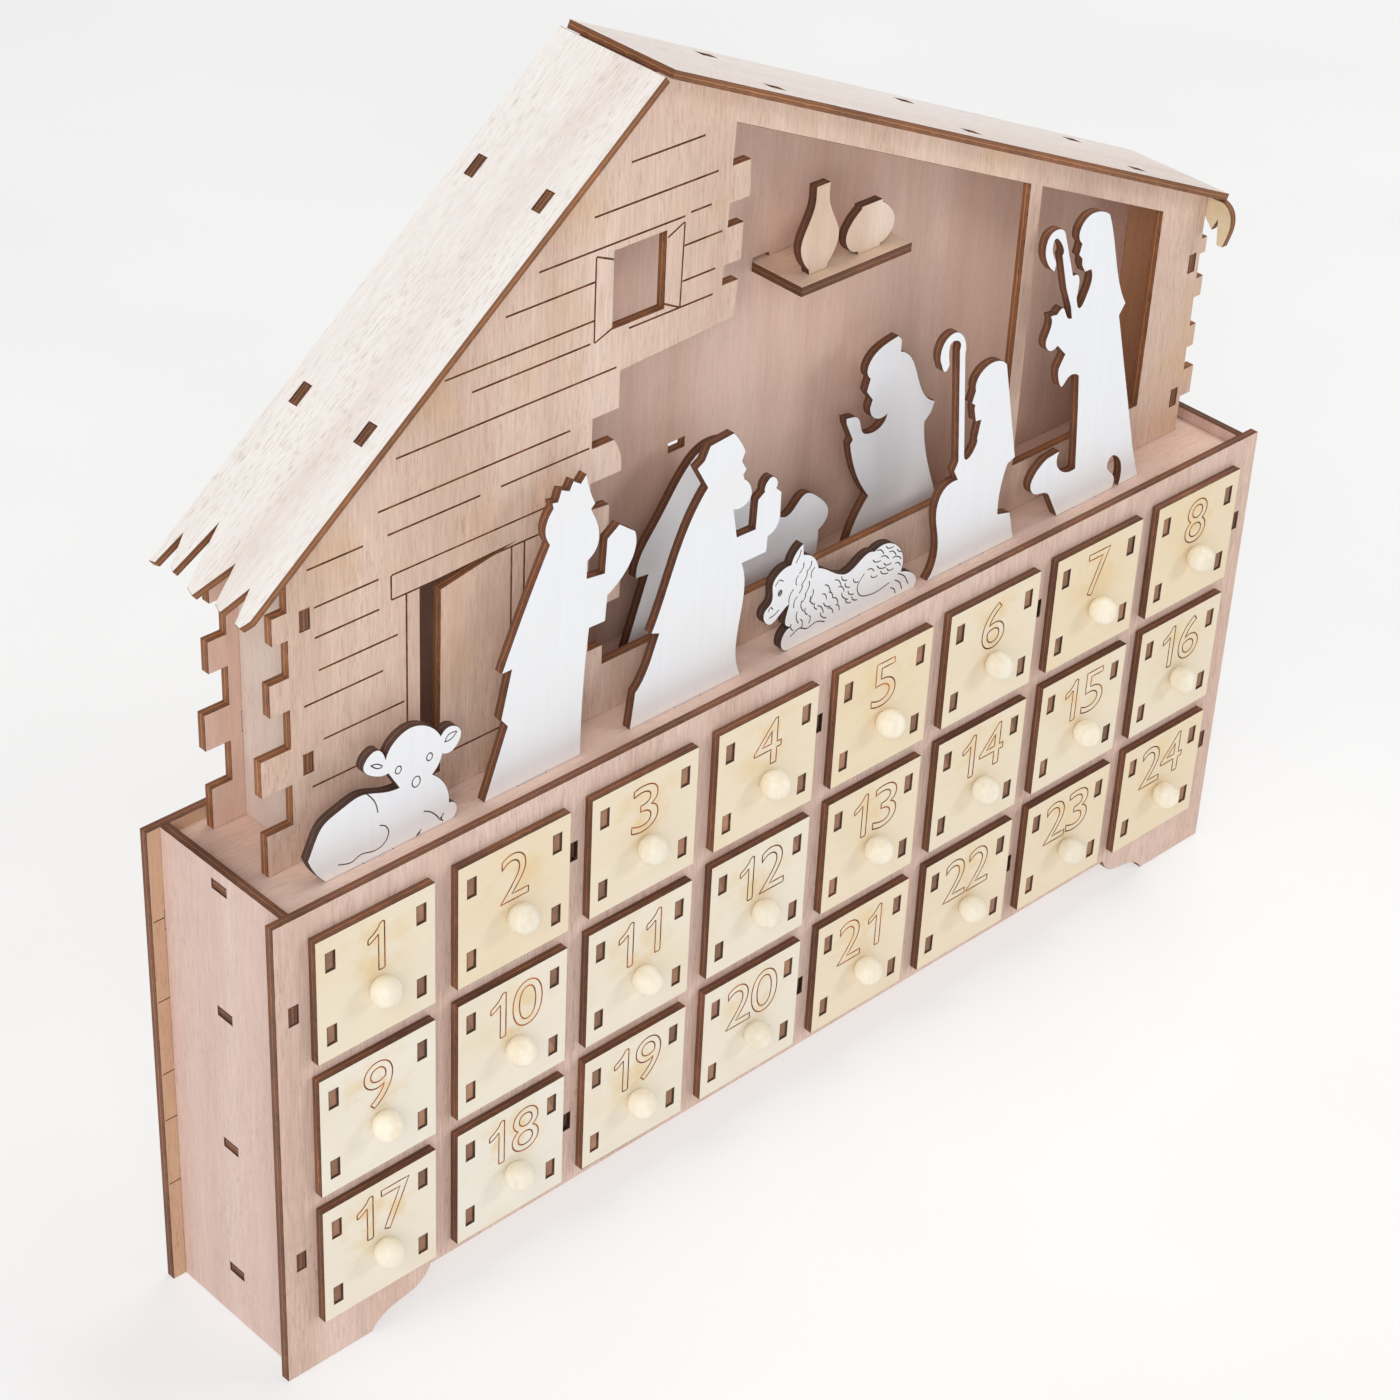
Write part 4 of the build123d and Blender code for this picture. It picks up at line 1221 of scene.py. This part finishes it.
@dataclass
class DrawerBank:
    """The numbered drawers: cream front plate with an engraved number, ball knob and tray."""

    works: SheetWorks
    count: int = 24
    columns: int = 8
    plate_thickness: float = 3.0 * MM
    tab_depth: float = 0.5 * MM
    number_drop: float = 3.5 * MM
    line_width: float = 0.5 * MM
    halo_half: Place = (17 * MM, 15 * MM)
    near_columns: int = 4
    near_tones: Spot = (0.25, 0.85, 0.8)
    far_tones: Spot = (0.15, 0.25, 0.15)
    tone_spread: float = 0.2
    edge_tones: int = 16
    edge_cell: Place = (5 * MM, 7 * MM)
    edge_cell_step: int = 3
    coats: tuple[str, ...] = ("cream_front", "brown_scorched_edge", "tab_end_grain", "tab_rim",
                              "burnt_number_line", "wheat_ledge", "turned_ball")

    def build(self) -> None:
        """Finishes every drawer."""
        for number in range(1, self.count + 1):
            self.drawer(number)

    def split(self, node: str) -> tuple[Shape, Shape, list[Shape]]:
        """Solids of a drawer, told apart by their number of faces.

        Args:
            node: the drawer's CAD node.

        Returns:
            The front plate, the ball knob and the boards of the tray.
        """
        shape = merged_copy(node)
        groups = sorted(islands(shape), key=len)
        shape.faces.index_update()
        *tray, plate, knob = (part_of(group, shape) for group in groups)
        shape.free()
        return plate, knob, tray

    def drawer(self, number: int) -> None:
        """Finishes one drawer as one piece.

        Args:
            number: the drawer's number, from 1.
        """
        node = f"drawer_{number:02d}"
        tool, maker = self.works.tool, self.works.maker
        materials = [self.works.finishes[name] for name in self.coats]
        plate, knob, tray = self.split(node)
        sides, depths, levels = zip(*(vertex.co for vertex in plate.verts))
        front = min(depths)
        number_level = max(levels) - self.number_drop - tool.numeral_height / 2
        centre = Vector(((min(sides) + max(sides)) / 2, front, number_level))
        cutter = tool.number(str(number), centre, self.line_width, materials[Layer.LINE])
        flatten(plate)
        sort_faces(plate, Axis.Y.vector())
        coat(knob.faces, Layer.BALL)
        meshes = [maker.finished(f"{node}_plate", from_shape("plate", plate), materials, cutter),
                  from_shape("knob", knob)]
        for board in tray:
            flatten(board)
            coat(board.faces, Layer.TRAY)
            ends = [face for face in board.faces if face.normal.y < -FACING
                    and face.calc_center_median().y < front + self.plate_thickness / 2]
            self.works.tabs.sink(board, ends, self.tab_depth)
            meshes.append(maker.finished(f"{node}_board", from_shape("board", board), materials))
        mesh = joined(f"{node}_front_and_tray", meshes)
        mark_tone(mesh, self.tones(number))
        mark_depth(mesh, Axis.Y.vector(), front, front + self.plate_thickness)
        mark_halo(mesh, centre, self.halo_half)
        maker.shade(mesh)
        settle(piece_object(mesh.name, mesh, materials), node, node, Slot.DRAWER)

    def tones(self, number: int) -> Callable[[bpy.types.MeshPolygon], float]:
        """Throws the tones of one drawer.

        Args:
            number: the drawer's number, from 1.

        Returns:
            The tone of a face: one each for plate, ball and number, and many for the scorched edges.
        """
        dice = self.works.dice
        row, column = divmod(number - 1, self.columns)
        row_tones = self.near_tones if column < self.near_columns else self.far_tones
        plate = row_tones[row] + self.tone_spread * (2 * dice.random() - 1)
        single = {Layer.BALL: dice.random(), Layer.LINE: dice.random()}
        edges = [dice.random() for _ in range(self.edge_tones)]
        wide, high = self.edge_cell

        def tone(face: bpy.types.MeshPolygon) -> float:
            """Tone of one face.

            Args:
                face: the face.

            Returns:
                Its tone.
            """
            if face.material_index in (Layer.EDGE, Layer.TAB_END):
                cell = int(face.center.x / wide) * self.edge_cell_step + int(face.center.z / high)
                return edges[cell % len(edges)]
            return single.get(face.material_index, plate)

        return tone


@dataclass
class Stable:
    """Walls, roof and shelf of the stable, with the engraved planks, door and shutters of its front."""

    works: SheetWorks
    left_slope: float
    right_slope: float
    edge: str = "scorched_edge"
    shelf_edge: str = "dark_scorched_edge"
    ware_edge: str = "ware_scorched_edge"
    line_width: float = 0.62 * MM
    planks: tuple[Spot, ...] = (
        (328.0, 138, 164), (316.2, 125.7, 169.5), (306.6, 107, 158), (307.1, 160, 167.5), (297.5, 96, 126.5),
        (297.9, 158, 172), (286.2, 76, 126.5), (287.4, 158, 170), (279.7, 85, 125.4), (279.8, 139, 169.5),
        (269.5, 60, 135), (256.0, 54, 119), (248.0, 31, 49), (248.0, 57, 88), (248.0, 95, 126),
        (236.0, 33, 54), (226.8, 33, 54), (216.5, 34, 60), (207.3, 29, 55), (194.5, 35, 62), (181.0, 31, 46),
        (171.0, 79, 97))
    door_lintel: tuple[Place, ...] = ((84, 228), (58, 228), (58, 235.5), (111, 235.5), (111, 228), (84, 228))
    door_jambs: tuple[Spot, ...] = ((63, 183, 228), (99, 186, 228), (103.5, 186, 228))
    shutters: tuple[tuple[Place, ...], ...] = (
        ((133.4, 301.8), (126.7, 304.7), (126.7, 279.4), (133.2, 281.9)),
        ((152.0, 302.2), (158.0, 305.0), (157.4, 279.8), (151.6, 282.8)))

    def strokes(self) -> list[list[Place]]:
        """Engraved lines of the front wall.

        Returns:
            The strokes, from the cabinet's left end and the floor.
        """
        flat = [[(start, level), (end, level)] for level, start, end in self.planks]
        flat += [[(place, low), (place, high)] for place, low, high in self.door_jambs]
        flat += [eased_stroke(outline) for outline in (self.door_lintel, *self.shutters)]
        return scaled(flat, MM, MM)

    def build(self) -> None:
        """Finishes all sheets of the stable."""
        place = Vector((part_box("cabinet_front")[0].x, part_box("stable_front")[0].y, 0.0))
        engraving = Engraving(self.strokes(), place, self.line_width, "burnt_plank_line")
        self.works.sheet("stable_front", Axis.Y.vector(), "honey_wall", self.edge, engraving=engraving)
        across, ahead, up = (axis.vector() for axis in Axis)
        left = Vector((-math.sin(self.left_slope), 0, math.cos(self.left_slope)))
        right = Vector((math.sin(self.right_slope), 0, math.cos(self.right_slope)))
        rows = (("stable_back", ahead, "clay_back_wall", self.edge),
                ("stable_left_wall", across, "fawn_end_wall", self.edge),
                # The right wall's veneer is darkened as painted shade.
                ("stable_right_wall", across, "tawny_far_wall", self.edge),
                ("eave_fringe", across, "straw_fringe", self.edge),
                ("wall_shelf", up, "wheat_ledge", self.shelf_edge),
                ("bottle_vase", ahead, "cream_ware", self.ware_edge),
                ("round_pot", ahead, "cream_ware", self.ware_edge),
                ("roof_left", left, "white_roof", self.edge),
                ("roof_right", right, "pale_roof", self.edge))
        for row in rows:
            self.works.sheet(*row)


@dataclass(frozen=True)
class FleecePatch:
    """Oval patch of curls on the woolly sheep, in shares of its width and height.

    Its fields are the oval's middle and half sizes, the way that the curls hang as an angle from straight
    down, and the number of curls across and down.
    """

    middle: Place
    half: Place
    lean: float
    across: int
    down: int
    lean_spread: float = 0.12
    place_spread: float = 0.12
    first_place: Place = (0.25, 0.2)
    stagger: float = 0.5
    reach: float = 1.25

    def starts(self, dice: random.Random) -> list[tuple[Place, float]]:
        """Curls in staggered rows inside the oval.

        Args:
            dice: what shifts them a little.

        Returns:
            Start and lean of each curl.
        """
        found = []
        for row in range(self.down):
            shift = self.stagger if row % 2 else 0.0
            for column in range(self.across):
                u = 2 * (column + self.first_place[0] + shift) / self.across - 1
                u += self.place_spread * (dice.random() - 0.5)
                v = 1 - 2 * (row + self.first_place[1]) / self.down
                v += self.place_spread * (dice.random() - 0.5)
                lean = self.lean + self.lean_spread * (2 * dice.random() - 1)
                if u * u + v * v < self.reach:
                    start = (self.middle[0] + u * self.half[0], self.middle[1] + v * self.half[1])
                    found.append((start, lean))
        return found


@dataclass
class FigureRow:
    """The flat painted figures, with the engraved lines of the two animals."""

    works: SheetWorks
    paint: str = "white_paint"
    edge: str = "dark_scorched_edge"
    animal_edge: str = "black_scorched_edge"
    animal_line: str = "burnt_animal_line"
    line_width: float = 0.38 * MM
    plain: tuple[str, ...] = ("crowned_king", "gift_bearing_king", "kneeling_shepherd", "standing_shepherd",
                              "mother_at_manger", "praying_father")
    lamb_rings: tuple[tuple[Place, Place], ...] = (
        ((50.8, 183.4), (1.0, 1.2)), ((61.4, 182.8), (1.0, 1.2)), ((56.8, 176.8), (1.4, 1.7)),
        ((65.2, 160.6), (0.3, 0.4)))
    lamb_curves: tuple[tuple[Place, ...], ...] = (
        ((41.6, 189.0), (43.6, 188.6), (45.3, 187.3), (45.0, 186.8), (43.4, 187.3), (41.6, 189.0)),
        ((66.6, 185.2), (68.0, 187.0), (70.7, 186.8), (68.8, 185.2), (66.6, 185.2)),
        ((40.2, 180.6), (42.8, 176.8), (43.8, 172.8)),
        ((44.3, 168.4), (46.3, 167.2), (47.3, 164.7), (45.9, 161.9), (42.6, 160.9), (38.1, 161.9),
         (34.4, 160.9), (30.2, 162.2)),
        ((59.3, 165.9), (61.6, 164.6), (63.6, 162.5), (64.6, 160.9)), ((65.4, 160.8), (66.2, 162.0)),
        ((65.4, 160.3), (66.0, 159.4)), ((58.5, 160.3), (56.6, 158.9)), ((58.1, 159.6), (57.2, 158.9)))
    fleece: tuple[FleecePatch, ...] = (
        FleecePatch((0.245, 0.62), (0.075, 0.20), -0.35, 3, 4),
        FleecePatch((0.255, 0.32), (0.085, 0.14), 0.25, 3, 3),
        FleecePatch((0.455, 0.33), (0.130, 0.17), 0.75, 5, 4),
        FleecePatch((0.755, 0.43), (0.105, 0.15), 1.05, 4, 4))
    fleece_curves: tuple[tuple[Place, ...], ...] = (
        ((0.180, 0.13), (0.235, 0.17), (0.285, 0.13), (0.345, 0.15), (0.400, 0.11)),
        ((0.640, 0.40), (0.600, 0.30), (0.628, 0.19), (0.720, 0.15), (0.815, 0.18)),
        ((0.868, 0.23), (0.915, 0.17), (0.945, 0.07)),
        ((0.850, 0.18), (0.885, 0.13), (0.905, 0.05)),
        ((0.826, 0.12), (0.850, 0.09), (0.862, 0.04)),
        ((0.186, 0.84), (0.207, 0.90), (0.214, 0.95)),
        ((0.064, 0.71), (0.088, 0.75), (0.114, 0.72)),
        ((0.028, 0.49), (0.044, 0.52), (0.058, 0.49)),
        ((0.036, 0.42), (0.070, 0.43), (0.098, 0.46)))
    curl_length: float = 3.7 * MM
    curl_length_shares: Place = (0.75, 1.25)
    curl_sway: float = 0.55 * MM
    curl_form: tuple[Place, ...] = ((0.0, 0.0), (0.35, 1.0), (0.75, 0.5), (1.0, -0.5))
    sheep_eye: Place = (0.097, 0.62)
    sheep_eye_halves: tuple[Place, ...] = ((0.011, 0.028), (0.005, 0.013))

    def build(self) -> None:
        """Finishes all figures."""
        for node in self.plain:
            self.works.sheet(node, Axis.Y.vector(), self.paint, self.edge, Slot.PAINTED)
        lamb = Vector((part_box("cabinet_front")[0].x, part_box("resting_lamb")[0].y, 0.0))
        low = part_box("woolly_sheep")[0]
        sheep = Vector((low.x, low.y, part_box("top_board")[1].z))
        rows = (("resting_lamb", self.lamb_strokes(), lamb), ("woolly_sheep", self.fleece_strokes(), sheep))
        for node, strokes, place in rows:
            engraving = Engraving(strokes, place, self.line_width, self.animal_line)
            self.works.sheet(node, Axis.Y.vector(), self.paint, self.animal_edge, Slot.PAINTED, engraving)

    def lamb_strokes(self) -> list[list[Place]]:
        """Engraved lines of the lamb.

        Returns:
            The strokes, from the cabinet's left end and the floor.
        """
        flat = [ring_stroke(centre, half) for centre, half in self.lamb_rings]
        flat += [smooth_stroke(curve) for curve in self.lamb_curves]
        return scaled(flat, MM, MM)

    def fleece_strokes(self) -> list[list[Place]]:
        """Engraved fleece of the woolly sheep: rows of short curls between a few long lines.

        Returns:
            The strokes, from the sheep's left end and the board.
        """
        low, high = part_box("woolly_sheep")
        width, height = high.x - low.x, high.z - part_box("top_board")[1].z
        flat = [smooth_stroke(curve) for curve in self.fleece_curves]
        flat += [ring_stroke(self.sheep_eye, half) for half in self.sheep_eye_halves]
        strokes = scaled(flat, width, height)
        for patch in self.fleece:
            for (x, z), lean in patch.starts(self.works.dice):
                strokes.append(self.curl((x * width, z * height), lean))
        return strokes

    def curl(self, start: Place, lean: float) -> list[Place]:
        """One curl of wool.

        Args:
            start: where it begins.
            lean: the way that it hangs, as an angle from straight down.

        Returns:
            The curl's points.
        """
        dice = self.works.dice
        along = (math.sin(lean), -math.cos(lean))
        shortest, longest = self.curl_length_shares
        length = self.curl_length * (shortest + (longest - shortest) * dice.random())
        sway = self.curl_sway * dice.choice((-1.0, 1.0))
        points = []
        for share, aside in self.curl_form:
            points.append((start[0] + along[0] * share * length - along[1] * aside * sway,
                           start[1] + along[1] * share * length + along[0] * aside * sway))
        return smooth_stroke(points)


@dataclass(frozen=True)
class SoftBox:
    """Soft light: its place, the side of its square and its power in watts."""

    name: str
    place: Spot
    size: float
    power: float


@dataclass
class Studio:
    """Pale floor, soft light and the camera."""

    camera_place: Spot = (-0.60532, -0.57652, 0.70705)
    camera_right: Spot = (0.72552, -0.68690, 0.04227)
    camera_up: Spot = (0.36470, 0.43583, 0.82283)
    focal_share: float = 2.42581
    sensor: float = 36.0
    floor_half: float = 30.0
    floor_glow: float = 0.55
    floor_roughness: float = 0.9
    floor_greys: tuple[Display, Display] = ((170, 170, 170), (176, 176, 176))
    mottle: Pattern = Pattern(6.0, 6.0)
    room_light: float = 0.23
    lamp_colour: Spot = (1.0, 0.99, 0.98)
    lamp_aim: Spot = (0.0, 0.0, 0.15)
    lamps: tuple[SoftBox, ...] = (
        SoftBox("side_light", (-2.1, -0.6, 1.2), 2.4, 25.0),
        SoftBox("fill_light", (-1.4, -1.4, 1.3), 1.2, 15.0),
        SoftBox("front_light", (1.7, -1.6, 1.1), 0.8, 15.0),
        SoftBox("top_light", (0.8, 0.2, 2.2), 1.2, 20.0))

    def build(self) -> None:
        """Builds the stage, the lights and the camera."""
        self.floor()
        self.world()
        for box in self.lamps:
            self.lamp(box)
        self.camera()
        bpy.context.scene.view_settings.view_transform = "Standard"

    def floor(self) -> None:
        """Lays the pale floor."""
        half = self.floor_half
        corners = [(-half, -half, 0), (half, -half, 0), (half, half, 0), (-half, half, 0)]
        mesh = bpy.data.meshes.new("floor")
        mesh.from_pydata(corners, [], [range(len(corners))])
        desk = ShaderDesk("pale_floor")
        colour = desk.ramp(desk.noise(desk.place(), self.mottle), USUAL_NOISE, self.floor_greys)
        desk.feed(desk.surface["Emission Color"], WHITE)
        desk.feed(desk.surface["Emission Strength"], self.floor_glow)
        piece_object("floor", mesh, [desk.finish(colour, self.floor_roughness)])

    def world(self) -> None:
        """Fills the room with even white light."""
        world = bpy.data.worlds.new("studio")
        world.use_nodes = True
        background = world.node_tree.nodes["Background"].inputs
        background["Color"].default_value = WHITE
        background["Strength"].default_value = self.room_light
        bpy.context.scene.world = world

    def lamp(self, box: SoftBox) -> None:
        """Hangs a soft light that points at the calendar.

        Args:
            box: the light.
        """
        light = bpy.data.lights.new(box.name, "AREA")
        light.size = box.size
        light.energy = box.power
        light.color = self.lamp_colour
        lamp = bpy.data.objects.new(box.name, light)
        lamp.location = box.place
        away = Vector(self.lamp_aim) - Vector(box.place)
        lamp.rotation_euler = away.to_track_quat("-Z", "Y").to_euler()
        bpy.context.scene.collection.objects.link(lamp)

    def camera(self) -> None:
        """Sets the camera at the photograph's angle."""
        right = Vector(self.camera_right).normalized()
        up = Vector(self.camera_up).normalized()
        data = bpy.data.cameras.new("camera")
        data.sensor_width = self.sensor
        data.lens = self.focal_share * self.sensor
        eye = bpy.data.objects.new("camera", data)
        turn = Matrix((right, up, right.cross(up))).transposed().to_4x4()
        eye.matrix_world = Matrix.Translation(self.camera_place) @ turn
        bpy.context.scene.collection.objects.link(eye)
        bpy.context.scene.camera = eye


def roof_slope(node: str) -> float:
    """Slope of a roof panel, from the normal of its largest face.

    Args:
        node: the panel's CAD node.

    Returns:
        The slope's angle.
    """
    shape = merged_copy(node)
    normal = max(shape.faces, key=lambda face: face.calc_area()).normal
    slope = math.atan2(abs(normal.x), abs(normal.z))
    shape.free()
    return slope


def main() -> None:
    """Builds the calendar's looks round its frame."""
    logging.basicConfig(level=logging.INFO, format="%(message)s")
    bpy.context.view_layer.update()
    left_slope, right_slope = roof_slope("roof_left"), roof_slope("roof_right")
    works = SheetWorks(Finishes(left_slope, right_slope))
    DrawerCabinet(works).build()
    Stable(works, left_slope, right_slope).build()
    FigureRow(works).build()
    DrawerBank(works).build()
    Studio().build()
    log.info("calendar done")


if __name__ == "__main__":
    main()
